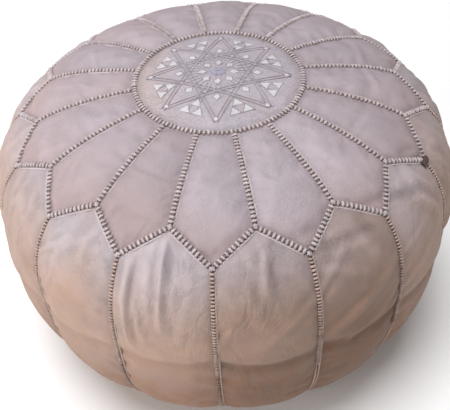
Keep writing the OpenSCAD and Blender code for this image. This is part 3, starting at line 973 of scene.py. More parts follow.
@dataclass
class Cover:
    """The sixteen top petals and sixteen side panels, puffed out between their seams by a simulation."""

    shell: Shell
    columns: int = 24
    petal_rows: int = 34
    side_rows: int = 76
    seam_sink: float = 1.6 * MM
    petal_puff: float = 2.4 * MM
    side_puff: float = 3.0 * MM
    fold_z: float = 0.203
    leather_t: float = 1.8 * MM
    frames: int = 22
    pressure: float = 3.0
    slack: float = 0.018
    cap: float = 6.0 * MM
    seed: int = 11
    petal_tones: tuple[float, ...] = (-0.5, -0.3, 0.1, -0.9, -0.6, -1.0, -0.7, -0.9,
                                      -0.7, -0.3, 0.0, -0.5, 0.1, -0.2, -0.4, -1.2)
    petal_blushes: tuple[float, ...] = (-0.3, -0.5, -0.4, 0.0, -0.2, 0.3, 0.0, 0.2,
                                        0.2, 0.0, 0.5, 0.0, 1.1, 0.5, 0.8, 1.0)
    # The side panels' tones and warmths: over the hides' own variation, the panels on the right are darker
    # and warmer, painted shade for the side away from the lamps.
    side_tones_and_shade: tuple[float, ...] = (-1.9, -2.3, -0.8, -1.2, -1.4, -1.0, -0.8, -1.1,
                                     -0.6, -0.4, -0.2, 0.0, -0.3, -1.1, -0.5, -0.2)
    side_blushes_and_shade: tuple[float, ...] = (0.35, 1.3, 0.2, 0.6, 0.3, 0.7, 0.4, 0.1,
                                       0.5, 0.0, -0.2, 0.3, -0.3, -0.6, -0.5, -0.2)
    grid: list[list[Vector]] = field(default_factory=list)

    @property
    def rows(self) -> int:
        """Returns the number of rows from the ring seam to the base seam."""
        return self.petal_rows + self.side_rows

    @property
    def around(self) -> int:
        """Returns the number of columns round the pouf."""
        return self.columns * self.shell.panels

    def arc(self, row: int, azimuth: float) -> float:
        """Returns the arc of a row, which follows the zigzag in the middle."""
        turn = self.shell.zigzag(azimuth)
        if row <= self.petal_rows:
            return turn * row / self.petal_rows
        return turn + (self.shell.length - turn) * (row - self.petal_rows) / self.side_rows

    def across(self, row: float, column: float) -> float:
        """Returns the place across a panel, 0 and 1 at its seams."""
        shift = 0.5 if row < self.petal_rows else 0.0
        return (column / self.columns + shift) % 1.0

    def sewn(self, row: int, column: int) -> bool:
        """Returns whether a crossing of the grid lies on a seam."""
        half = self.columns // 2
        if row in (0, self.petal_rows, self.rows):
            return True
        return (column + half if row < self.petal_rows else column) % self.columns == 0

    def _fold_arc(self, azimuth: float) -> float:
        """Returns the arc of the soft crease round the side at an azimuth."""
        index = math.floor(azimuth / self.shell.pitch)
        across = azimuth / self.shell.pitch - index
        chance = random.Random(self.seed * 100 + index % self.shell.panels)
        sag, slant, shift = chance.uniform(0, 5), chance.uniform(-7, 7), chance.uniform(-3, 3)
        middle = self.shell.arc_of_height(self.fold_z)
        wave = sag * math.sin(math.pi * across) + slant * (across - 0.5) + shift
        return middle + wave * MM

    def _fold_strength(self, azimuth: float) -> float:
        """Returns how deep the soft crease is at an azimuth: deepest on the right, uneven all round."""
        # This strength also scales the painted shade under the crease, so that shade is darkest on the
        # right.
        turn = math.radians(azimuth)
        uneven = 0.28 * math.sin(5 * turn + 1.1) + 0.16 * math.sin(11 * turn + 0.4)
        return max(0.25, 0.72 + 0.34 * math.sin(turn - 0.35) + uneven)

    @cached_property
    def folds(self) -> list[Fold]:
        """Returns the puckers: those of the front listed one by one, the others by a seeded draw."""
        made = [
            Fold(-11.2, 0.166, 1, 0.062, 4.6 * MM, 5.4 * MM),
            Fold(-18.8, 0.196, 3, 0.072, 5.0 * MM, 5.6 * MM),
            Fold(-16.0, 0.214, 10, 0.036, 4.6 * MM, 2.2 * MM),
            Fold(-6.4, 0.206, -12, 0.046, 7.0 * MM, 1.2 * MM),
            Fold(11.8, 0.158, -3, 0.040, 5.5 * MM, 2.2 * MM),
            Fold(8.0, 0.190, 14, 0.040, 7.0 * MM, 1.0 * MM),
            Fold(17.0, 0.214, -52, 0.045, 6.0 * MM, 1.7 * MM),
            Fold(31.0, 0.152, 86, 0.052, 6.5 * MM, -2.4 * MM),
            Fold(52.0, 0.150, 62, 0.045, 8.0 * MM, -3.0 * MM),
            Fold(25.5, 0.172, 70, 0.030, 5.0 * MM, 1.6 * MM),
            Fold(30.0, 0.182, 64, 0.036, 6.0 * MM, 1.6 * MM),
            Fold(33.0, 0.226, -58, 0.070, 8.0 * MM, 2.0 * MM),
            Fold(37.0, 0.252, -62, 0.060, 7.0 * MM, 1.6 * MM),
            Fold(-38.0, 0.164, -38, 0.034, 4.5 * MM, 1.6 * MM),
            Fold(-41.0, 0.176, -42, 0.030, 4.5 * MM, 1.3 * MM),
            Fold(-60.0, 0.170, 30, 0.040, 6.0 * MM, 1.6 * MM),
            Fold(58.0, 0.176, 35, 0.042, 7.0 * MM, 2.2 * MM),
            Fold(50.5, 0.235, -60, 0.060, 7.0 * MM, 1.6 * MM),
        ]
        chance = random.Random(self.seed)
        for panel in range(self.shell.panels):
            start = panel * self.shell.pitch
            front = start < 40 or start > 315
            for _ in range(2 if front else 5):
                spot = start + self.shell.pitch * chance.uniform(0.12, 0.88)
                made.append(Fold(spot, self.shell.zigzag(spot) + chance.uniform(0.012, 0.07),
                                 chance.gauss(0, 26), chance.uniform(0.025, 0.06),
                                 chance.uniform(4.5, 8.0) * MM, chance.uniform(0.7, 1.9) * MM))
            for _ in range(2):
                spot = start + self.shell.pitch * chance.uniform(-0.3, 0.3)
                made.append(Fold(spot, self.shell.zigzag(spot) - chance.uniform(0.018, 0.075),
                                 chance.choice((0, 90)) + chance.gauss(0, 20), chance.uniform(0.02, 0.045),
                                 chance.uniform(4.0, 7.0) * MM, chance.uniform(0.3, 0.8) * MM))
        return made

    @cached_property
    def _folds_near(self) -> dict[int, list[Fold]]:
        """Returns the puckers that can reach each panel's width of azimuth."""
        near: dict[int, list[Fold]] = {index: [] for index in range(self.shell.panels)}
        for fold in self.folds:
            home = int(fold.azimuth % 360 // self.shell.pitch)
            for index in (home - 1, home, home + 1):
                near[index % self.shell.panels].append(fold)
        return near

    def lift(self, row: int, column: int, azimuth: float, arc: float) -> float:
        """Returns how far the sewn but unstuffed cover stands off the plain form."""
        radius = self.shell.at(arc)[0]
        across = self.across(row, column)
        crown = (4 * across * (1 - across)) ** 0.55 if 0 < across < 1 else 0.0
        if row <= self.petal_rows:
            part, puff = row / self.petal_rows, self.petal_puff
        else:
            part, puff = (row - self.petal_rows) / self.side_rows, self.side_puff
        ends = min(part, 1 - part)
        crown *= smoothstep(0.0, 0.16, ends) ** 0.7
        total = puff * crown
        for fold in self._folds_near[int(azimuth % 360 // self.shell.pitch)]:
            total += fold.lift(azimuth, arc, radius) * min(1.0, 2.2 * crown)
        if row > self.petal_rows:
            gap = arc - self._fold_arc(azimuth)
            over = 2.2 * MM * bell(gap + 10 * MM, 11 * MM)
            under = -3.4 * MM * bell(gap - 6 * MM, 9 * MM)
            total += (over + under) * min(1.0, 1.6 * crown) * self._fold_strength(azimuth)
        place = self.shell.spot(azimuth, arc)
        swell = (0.5 if row <= self.petal_rows else 1.0) * MM
        total += swell * crown * (noise.noise(place * 22) + 0.4 * noise.noise(place * 70))
        return total - self.seam_sink

    def _rig(self) -> tuple[bpy.types.Object, list[tuple[int, int]]]:
        """Spins the profile into one sheet and lays its rows along the seams."""
        bm = bmesh.new()
        row_layer = bm.verts.layers.int.new("row")
        before = None
        for row in range(self.rows + 1):
            radius, height = self.shell.at(self.shell.length * row / self.rows)
            vert = bm.verts.new((0, -radius, height))
            vert[row_layer] = row
            if before:
                bm.edges.new((before, vert))
            before = vert
        bmesh.ops.spin(bm, geom=bm.verts[:] + bm.edges[:], cent=(0, 0, 0), axis=(0, 0, 1), dvec=(0, 0, 0),
                       angle=2 * math.pi, steps=self.around, use_merge=True, use_duplicate=False)
        bmesh.ops.recalc_face_normals(bm, faces=bm.faces[:])
        places = []
        step = 360.0 / self.around
        for vert in bm.verts:
            row = vert[row_layer]
            column = round(math.degrees(math.atan2(vert.co.x, -vert.co.y)) / step) % self.around
            azimuth = column * step
            arc = self.arc(row, azimuth)
            vert.co = self.shell.spot(azimuth, arc, self.lift(row, column, azimuth, arc))
            places.append((row, column))
        bm.normal_update()
        mesh = bpy.data.meshes.new("sewn_cover")
        bm.to_mesh(mesh)
        bm.free()
        sheet = bpy.data.objects.new("sewn_cover", mesh)
        bpy.context.scene.collection.objects.link(sheet)
        return sheet, places

    def _stuff(self, sheet: bpy.types.Object, places: Sequence[tuple[int, int]]) -> list[Vector]:
        """Presses the cover out from inside, held at its seams, and returns where it settles."""
        pins = sheet.vertex_groups.new(name="sewn")
        pins.add([i for i, (row, column) in enumerate(places) if self.sewn(row, column)], 1.0, "REPLACE")
        cloth = sheet.modifiers.new("Stuffed leather", "CLOTH")
        hide = cloth.settings
        hide.quality = 6
        hide.mass = 0.35
        hide.vertex_group_mass = pins.name
        hide.tension_stiffness = 40.0
        hide.compression_stiffness = 30.0
        hide.shear_stiffness = 12.0
        hide.bending_stiffness = 4.0
        hide.use_pressure = True
        hide.uniform_pressure_force = self.pressure
        hide.shrink_min = -self.slack
        hide.effector_weights.gravity = 0.0
        scene = bpy.context.scene
        cloth.point_cache.frame_start, cloth.point_cache.frame_end = 1, self.frames
        for index in range(1, self.frames + 1):
            scene.frame_set(index)
        settled = sheet.evaluated_get(bpy.context.evaluated_depsgraph_get())
        found = [vert.co.copy() for vert in settled.data.vertices]
        sheet.modifiers.remove(cloth)
        scene.frame_set(1)
        return found

    def shape(self) -> None:
        """Fills the grid with the cover's final places."""
        sheet, places = self._rig()
        start = [vert.co.copy() for vert in sheet.data.vertices]
        settled = self._stuff(sheet, places)
        self.grid = [[Vector() for _ in range(self.around)] for _ in range(self.rows + 1)]
        most = 0.0
        for (row, column), before, after in zip(places, start, settled):
            move = after - before
            most = max(most, move.length)
            if move.length > self.cap:
                move *= self.cap / move.length
            place = before + move
            place.z = max(place.z, 0.4 * MM)
            self.grid[row][column] = place
        LOG.info("cover settled, furthest move %.1f mm", most / MM)
        mesh = sheet.data
        bpy.data.objects.remove(sheet)
        bpy.data.meshes.remove(mesh)

    def panel(self, name: str, node: str, first_column: int, first_row: int, rows: int,
              finish: bpy.types.Material, slot: Slot, tone: float, blush: float) -> bpy.types.Object:
        """Cuts one panel out of the settled cover.

        Args:
            name: the piece's name.
            node: the CAD node it stands for.
            first_column: the column of its first side seam.
            first_row: its top row.
            rows: how many rows it has.
            finish: its leather.
            slot: the record's material slot, which is not used.
            tone: how much lighter or darker the panel is, from -1 to 1: its hide's own tone, and on the side
                panels painted shade too, darkest on the right.
            blush: how much warmer or cooler the panel is, from -1 to 1: its hide's own warmth, and on the
                side panels the warm painted shade on the right too.

        Returns:
            The panel.
        """
        bm = bmesh.new()
        uv = bm.loops.layers.uv.new("panel")
        bmesh.ops.create_grid(bm, x_segments=self.columns, y_segments=rows, size=0.5, calc_uvs=True)
        seams, folds = [], []
        for vert in bm.verts:
            column = round((vert.co.x + 0.5) * self.columns)
            row = first_row + round((0.5 - vert.co.y) * rows)
            whole = (first_column + column) % self.around
            vert.co = self.grid[row][whole]
            radius = math.hypot(vert.co.x, vert.co.y)
            width = math.radians(self.shell.pitch) * radius
            down = (row - first_row) / rows
            azimuth = whole * 360.0 / self.around
            arc = self.arc(row, azimuth)
            long = self.arc(first_row + rows, azimuth) - self.arc(first_row, azimuth)
            gap = min(column / self.columns * width, (1 - column / self.columns) * width,
                      down * long, (1 - down) * long)
            # The seam mark: darker within a few millimetres of a seam, plus painted shade in each pucker's
            # valleys and a painted highlight on its ridges.
            dent = sum(fold.lift(azimuth, arc, radius)
                       for fold in self._folds_near[int(azimuth % 360 // self.shell.pitch)])
            seams.append(bell(gap, 7 * MM) + 0.9 * min(max(-dent / (1.6 * MM), -0.5), 1.0))
            # The crease mark: a band of painted shade just under the soft crease, fading into a steady
            # darker tan further down.
            below = arc - self._fold_arc(azimuth)
            strength = self._fold_strength(azimuth)
            folds.append(strength * (bell(below - 4 * MM, 5 * MM) * 0.7
                                     + 0.55 * smoothstep(0, 8 * MM, below))
                         if first_row else 0.0)
        for face in bm.faces:
            for loop in face.loops:
                loop[uv].uv = (loop[uv].uv.x * self.shell.pitch / 100, loop[uv].uv.y * 0.2)
        piece = finish_piece(name, bm, finish, [node])
        mark_vertices(piece.data, Mark.SEAM, seams)
        mark_vertices(piece.data, Mark.FOLD, folds)
        mark_vertices(piece.data, Mark.TONE, [tone] * len(seams))
        mark_vertices(piece.data, Mark.BLUSH, [blush] * len(seams))
        add_wall(piece, self.leather_t, 1)
        return piece

    def build(self, finishes: Finishes) -> None:
        """Shapes the cover and cuts its thirty-two panels."""
        self.shape()
        half = self.columns // 2
        for index in range(self.shell.panels):
            number, start = f"{index + 1:02d}", index * self.columns
            self.panel(f"petal_{number}", f"top_petal_{number}", (start - half) % self.around, 0,
                       self.petal_rows, finishes.top, Slot.TOP_LEATHER,
                       self.petal_tones[index], self.petal_blushes[index])
            self.panel(f"side_{number}", f"side_panel_{number}", start, self.petal_rows, self.side_rows,
                       finishes.side, Slot.SIDE_LEATHER, self.side_tones_and_shade[index], self.side_blushes_and_shade[index])


# ---------------------------------------------------------------- the seams


@dataclass(frozen=True)
class StitchStyle:
    """The size of one stitch over a seam, and how often it comes."""

    span: float
    rise: float
    thick: float
    pitch: float
    sides: int = 6
    rounds: int = 6

    def mesh(self) -> bpy.types.Mesh:
        """Returns one stitch: a rounded bar bent over the seam, x across it and y along it."""
        bm = bmesh.new()
        bmesh.ops.create_uvsphere(bm, u_segments=self.sides, v_segments=self.rounds, radius=1.0)
        for vert in bm.verts:
            x, y, z = vert.co
            size = math.hypot(x, y)
            plump = size ** -0.45 if size > 0.05 else 0.0
            turn = z * math.pi / 2
            centre_x, centre_z = math.sin(turn) * self.span / 2, math.cos(turn) ** 0.8 * self.rise
            vert.co = (centre_x + y * plump * math.sin(turn) * self.thick / 2, x * plump * self.thick / 2,
                       centre_z + y * plump * math.cos(turn) * self.thick / 2)
        bmesh.ops.recalc_face_normals(bm, faces=bm.faces[:])
        mesh = bpy.data.meshes.new("stitch")
        bm.to_mesh(mesh)
        bm.free()
        return mesh


@dataclass
class StitchRun:
    """Stitches that are gathered into one mesh."""

    style: StitchStyle
    chance: random.Random
    bm: bmesh.types.BMesh = field(default_factory=bmesh.new)
    tones: list[float] = field(default_factory=list)

    @cached_property
    def _shape(self) -> bpy.types.Mesh:
        """Returns the stitch that is copied."""
        return self.style.mesh()

    def stamp(self, station: Station, size: float = 1.0) -> None:
        """Adds one stitch, a little uneven."""
        shape = self._shape.copy()
        lean = Matrix.Rotation(self.chance.gauss(0, 0.07), 4, "Z")
        scale = Vector((size * self.chance.uniform(0.94, 1.05), size * self.chance.uniform(0.88, 1.1),
                        self.chance.uniform(0.9, 1.1)))
        shape.transform(station.matrix(scale) @ lean)
        self.bm.from_mesh(shape)
        self.tones += [self.chance.uniform(-1, 1)] * len(shape.vertices)
        bpy.data.meshes.remove(shape)

    def fill(self, track: Track, start: float, stop: float, raised: float = 0.0) -> None:
        """Spaces stitches evenly between two lengths of a track."""
        count = max(1, round((stop - start) / self.style.pitch))
        for i in range(count):
            jitter = self.chance.gauss(0, 0.04)
            self.stamp(track.station(start + (stop - start) * (i + 0.5 + jitter) / count, 0.0, raised))

    def piece(self, name: str, finish: bpy.types.Material, slot: Slot,
              nodes: Sequence[str]) -> bpy.types.Object:
        """Makes the stitches into one piece."""
        piece = finish_piece(name, self.bm, finish, nodes)
        mark_vertices(piece.data, Mark.TONE, self.tones)
        return piece


@dataclass
class Seams:
    """The raised welts, their stitches, the leather lip beside them and the knots where they meet."""

    shell: Shell
    cover: Cover
    width: float = 6.4 * MM
    side_width: float = 4.6 * MM
    welt_rise: float = 1.9 * MM
    welt_share: float = 0.76
    lip_r: float = 1.25 * MM
    knot_r: float = 5.2 * MM
    foot_gap: float = 5.0 * MM
    ring_width: float = 6.4 * MM
    seed: int = 5
    top_stitch: StitchStyle = StitchStyle(4.8 * MM, 2.4 * MM, 3.0 * MM, 4.4 * MM)
    ring_stitch: StitchStyle = StitchStyle(5.3 * MM, 2.6 * MM, 2.9 * MM, 4.6 * MM)
    side_stitch: StitchStyle = StitchStyle(3.9 * MM, 2.0 * MM, 2.7 * MM, 3.7 * MM)
    base_stitch: StitchStyle = StitchStyle(4.2 * MM, 1.1 * MM, 2.4 * MM, 5.0 * MM)

    def _track(self, route: Route, samples: int = 120, closed: bool = False) -> Track:
        """Returns a track on the sunk line where the panels meet."""
        return Track(route, -self.cover.seam_sink, samples, closed)

    def radial(self, index: int) -> Track:
        """Returns the seam between two petals, from the ring outwards."""
        azimuth = (index + 0.5) * self.shell.pitch
        start, stop = self.width / 2, self.shell.zigzag(azimuth)
        return self._track(lambda t: (azimuth, start + (stop - start) * t))

    def zigzag(self, index: int, side: int) -> Track:
        """Returns one side of a petal's point, with the outside of the pouf on its right."""
        middle = index * self.shell.pitch
        far = middle + side * self.shell.pitch / 2
        first, last = (far, middle) if side > 0 else (middle, far)

        def route(t: float) -> tuple[float, float]:
            """Returns the azimuth and arc at a share of the way."""
            azimuth = first + (last - first) * min(max(t, 0.0), 1.0)
            over = (last - first) * (t - min(max(t, 0.0), 1.0))
            return azimuth + over, self.shell.zigzag(azimuth)

        return self._track(route)

    def upright(self, index: int) -> Track:
        """Returns the seam between two side panels, from its corner down to the base."""
        azimuth = index * self.shell.pitch
        start, stop = self.shell.zigzag(azimuth), self.shell.length - self.side_width / 2
        return self._track(lambda t: (azimuth, start + (stop - start) * t), 240)

    def ring(self) -> Track:
        """Returns the seam round the medallion."""
        return self._track(lambda t: (360.0 * t, 0.0), 360, True)

    def _welt(self, bm: bmesh.types.BMesh, track: Track, start: float, stop: float, width: float,
              rise: float, closed: bool = False) -> None:
        """Adds a stretch of welt."""
        count = max(2, round((stop - start) / (3.6 * MM)))
        steps = count if closed else count + 1
        stations = [track.station(start + (stop - start) * i / count) for i in range(steps)]
        sweep(bm, stations, arch(width, rise), closed)

    def _lip(self, bm: bmesh.types.BMesh, track: Track, start: float, stop: float, shift: float,
             radius: float, raised: float) -> None:
        """Adds a stretch of the folded leather edge beside a seam."""
        count = max(4, round((stop - start) / (3.4 * MM)))
        stations = [track.station(start + (stop - start) * i / count, shift, raised)
                    for i in range(count + 1)]
        ends = 0.12
        sweep(bm, stations, disc_section(radius, 7),
              swell=lambda i: 0.35 + 0.65 * smoothstep(0, ends, min(i, count - i) / count))

    def build(self, finishes: Finishes) -> None:
        """Builds every seam and dresses it."""
        chance = random.Random(self.seed)
        self._top_seams(finishes, chance)
        self._side_seams(finishes, chance)
        self._rings(finishes, chance)
        self._knots(finishes, chance)

    def _top_seams(self, finishes: Finishes, chance: random.Random) -> None:
        """Builds the seams between the petals and along the zigzag."""
        for name, node in (("radial", "radial_seams"), ("zigzag", "zigzag_seams")):
            welts, lips = bmesh.new(), bmesh.new()
            stitches = StitchRun(self.top_stitch, chance)
            if name == "radial":
                tracks = [self.radial(i) for i in range(self.shell.panels)]
            else:
                tracks = [self.zigzag(i, side) for i in range(self.shell.panels) for side in (-1, 1)]
            for track in tracks:
                low = 0.0 if name == "radial" else self.knot_r * 0.45
                high = track.length - self.knot_r * 0.45
                self._welt(welts, track, low, high, self.width * self.welt_share, self.welt_rise)
                self._lip(lips, track, low, high, self.width * 0.60, self.lip_r, 0.35 * MM)
                stitches.fill(track, low + 0.8 * MM, high - 0.6 * MM, 0.1 * MM)
            self._close(welts)
            self._close(lips)
            welt = finish_piece(f"{name}_welts", welts, finishes.welt, [node])
            finish_piece(f"{name}_lips", lips, finishes.lip, [node])
            stitches.piece(f"{name}_stitches", finishes.pale, Slot.PALE_THREAD, [node])
            LOG.info("%s seams: %d stitches", welt.name, len(stitches.tones))

    def _side_seams(self, finishes: Finishes, chance: random.Random) -> None:
        """Builds the upright seams: stitched down to the soft crease; below it, half of them are a plain
        double ridge and the rest carry small brown stitches.
        """
        welts, lips, small = bmesh.new(), bmesh.new(), StitchStyle(4.8 * MM, 1.0 * MM, 2.1 * MM, 4.1 * MM)
        stitches, lower = StitchRun(self.side_stitch, chance), StitchRun(small, chance)
        holes = StitchRun(StitchStyle(1.2 * MM, 0.4 * MM, 0.9 * MM, 5.0 * MM, 5, 4), chance)
        for index in range(self.shell.panels):
            track = self.upright(index)
            top = self.knot_r * 0.5
            turn = self.shell.arc_of_height(0.178 + chance.uniform(-20, 14) * MM)
            low = turn - self.shell.zigzag(index * self.shell.pitch)
            plain = index % 4 in (1, 2)
            width = self.side_width * self.welt_share
            self._welt(welts, track, top, track.length - self.foot_gap, width, self.welt_rise * 0.6)
            self._lip(lips, track, top, track.length, self.side_width * 0.60, 1.05 * MM, 0.8 * MM)
            stitches.fill(track, top + 0.8 * MM, low, 0.1 * MM)
            if plain:
                self._lip(lips, track, low, track.length, -self.side_width * 0.12, 1.3 * MM, 0.9 * MM)
                # Dark beads stand for the stitch holes below the crease; their darkness is painted shade in
                # the holes.
                holes.fill(track, low + 3 * MM, track.length - 2 * MM, 1.6 * MM)
            else:
                lower.fill(track, low + 1 * MM, track.length - 1.6 * self.foot_gap, 0.9 * MM)
        self._close(welts)
        self._close(lips)
        node = ["side_seams"]
        finish_piece("side_welts", welts, finishes.side_welt, node)
        finish_piece("side_lips", lips, finishes.lip, node)
        stitches.piece("side_stitches", finishes.tan, Slot.PALE_THREAD, node)
        lower.piece("side_low_stitches", finishes.brown, Slot.PALE_THREAD, node)
        holes.piece("side_holes", finishes.dark, Slot.DARK_THREAD, node)

    def _rings(self, finishes: Finishes, chance: random.Random) -> None:
        """Builds the seams round the medallion and the base."""
        track = self.ring()
        welts = bmesh.new()
        self._welt(welts, track, 0.0, track.length, self.ring_width * self.welt_share, self.welt_rise, True)
        self._close(welts)
        finish_piece("ring_welt", welts, finishes.welt, ["medallion_ring_seam"])
        stitches = StitchRun(self.ring_stitch, chance)
        stitches.fill(track, 0.0, track.length, 0.1 * MM)
        stitches.piece("ring_stitches", finishes.pale, Slot.PALE_THREAD, ["medallion_ring_seam"])
        self._base_ring(finishes, chance)

    def _base_ring(self, finishes: Finishes, chance: random.Random) -> None:
        """Builds the flat seam round the base, just clear of the floor."""
        count = 180
        stations = []
        for i in range(count):
            a = 2 * math.pi * i / count
            out = Vector((math.sin(a), -math.cos(a), 0))
            stations.append(Station(out * self.shell.base_r + Vector((0, 0, 1.5 * MM)),
                                    Vector((math.cos(a), math.sin(a), 0)), out, Vector((0, 0, 1))))
        welt = bmesh.new()
        half = self.side_width / 2
        section = [(half, -0.6 * MM), (half, 0.7 * MM), (0.4 * half, 1.2 * MM), (-0.4 * half, 1.2 * MM),
                   (-half, 0.7 * MM), (-half, -0.6 * MM), (-0.4 * half, -1.1 * MM), (0.4 * half, -1.1 * MM)]
        sweep(welt, stations, section, True)
        self._close(welt)
        finish_piece("base_welt", welt, finishes.lip, ["base_ring_seam"])
        stitches = StitchRun(self.base_stitch, chance)
        total = round(2 * math.pi * self.shell.base_r / self.base_stitch.pitch)
        for i in range(total):
            a = 2 * math.pi * i / total
            out = Vector((math.sin(a), -math.cos(a), 0))
            stitches.stamp(Station(out * self.shell.base_r + Vector((0, 0, 2.6 * MM)),
                                   Vector((-math.cos(a), -math.sin(a), 0)), out, Vector((0, 0, -1))), 0.95)
        stitches.piece("base_stitches", finishes.dark, Slot.DARK_THREAD, ["base_ring_seam"])

    def _knots(self, finishes: Finishes, chance: random.Random) -> None:
        """Builds the little knots where three seams meet."""
        pads = bmesh.new()
        wraps = StitchRun(StitchStyle(6.0 * MM, 2.6 * MM, 2.7 * MM, 3.0 * MM), chance)
        darned = StitchRun(StitchStyle(8.5 * MM, 2.9 * MM, 2.2 * MM, 2.0 * MM), chance)
        for index in range(2 * self.shell.panels):
            azimuth = index * self.shell.pitch / 2
            arc = self.shell.zigzag(azimuth)
            place = self.shell.spot(azimuth, arc, -self.cover.seam_sink)
            up = self.shell.up(azimuth, arc)
            side = Vector((math.cos(math.radians(azimuth)), math.sin(math.radians(azimuth)), 0))
            down = side.cross(up).normalized()
            self._pad(pads, Station(place, down, side, up))
            turns = (20, 80, 140) if index % 2 else (40, 100, 160)
            for turn in turns:
                a = math.radians(turn + chance.uniform(-8, 8))
                across = side * math.cos(a) + down * math.sin(a)
                wraps.stamp(Station(place, up.cross(across), across, up), chance.uniform(0.8, 1.0))
            if index == 6:
                for step in range(-5, 3):
                    darned.stamp(Station(place + side * (step * 1.7 * MM) + up * 1.2 * MM,
                                         side, down, up), 0.9)
        self._close(pads)
        # The pads carry no reach mark, so they take the welt's dark crest colour: painted shade between the
        # wraps.
        finish_piece("knot_pads", pads, finishes.welt, ["seam_knots"])
        wraps.piece("knot_wraps", finishes.pale, Slot.PALE_THREAD, ["seam_knots"])
        darned.piece("darned_knot", finishes.dark, Slot.DARK_THREAD, ["seam_knots"])

    def _pad(self, bm: bmesh.types.BMesh, station: Station) -> None:
        """Adds the low cushion of leather under a knot."""
        made = bmesh.ops.create_uvsphere(bm, u_segments=14, v_segments=8, radius=1.0)["verts"]
        scale = Vector((self.knot_r * 0.5, self.knot_r * 0.5, self.welt_rise * 0.8))
        bmesh.ops.transform(bm, matrix=station.matrix(scale), verts=made)

    @staticmethod
    def _close(bm: bmesh.types.BMesh) -> None:
        """Turns every face outwards."""
        bmesh.ops.recalc_face_normals(bm, faces=bm.faces[:])


# ---------------------------------------------------------------- the medallion


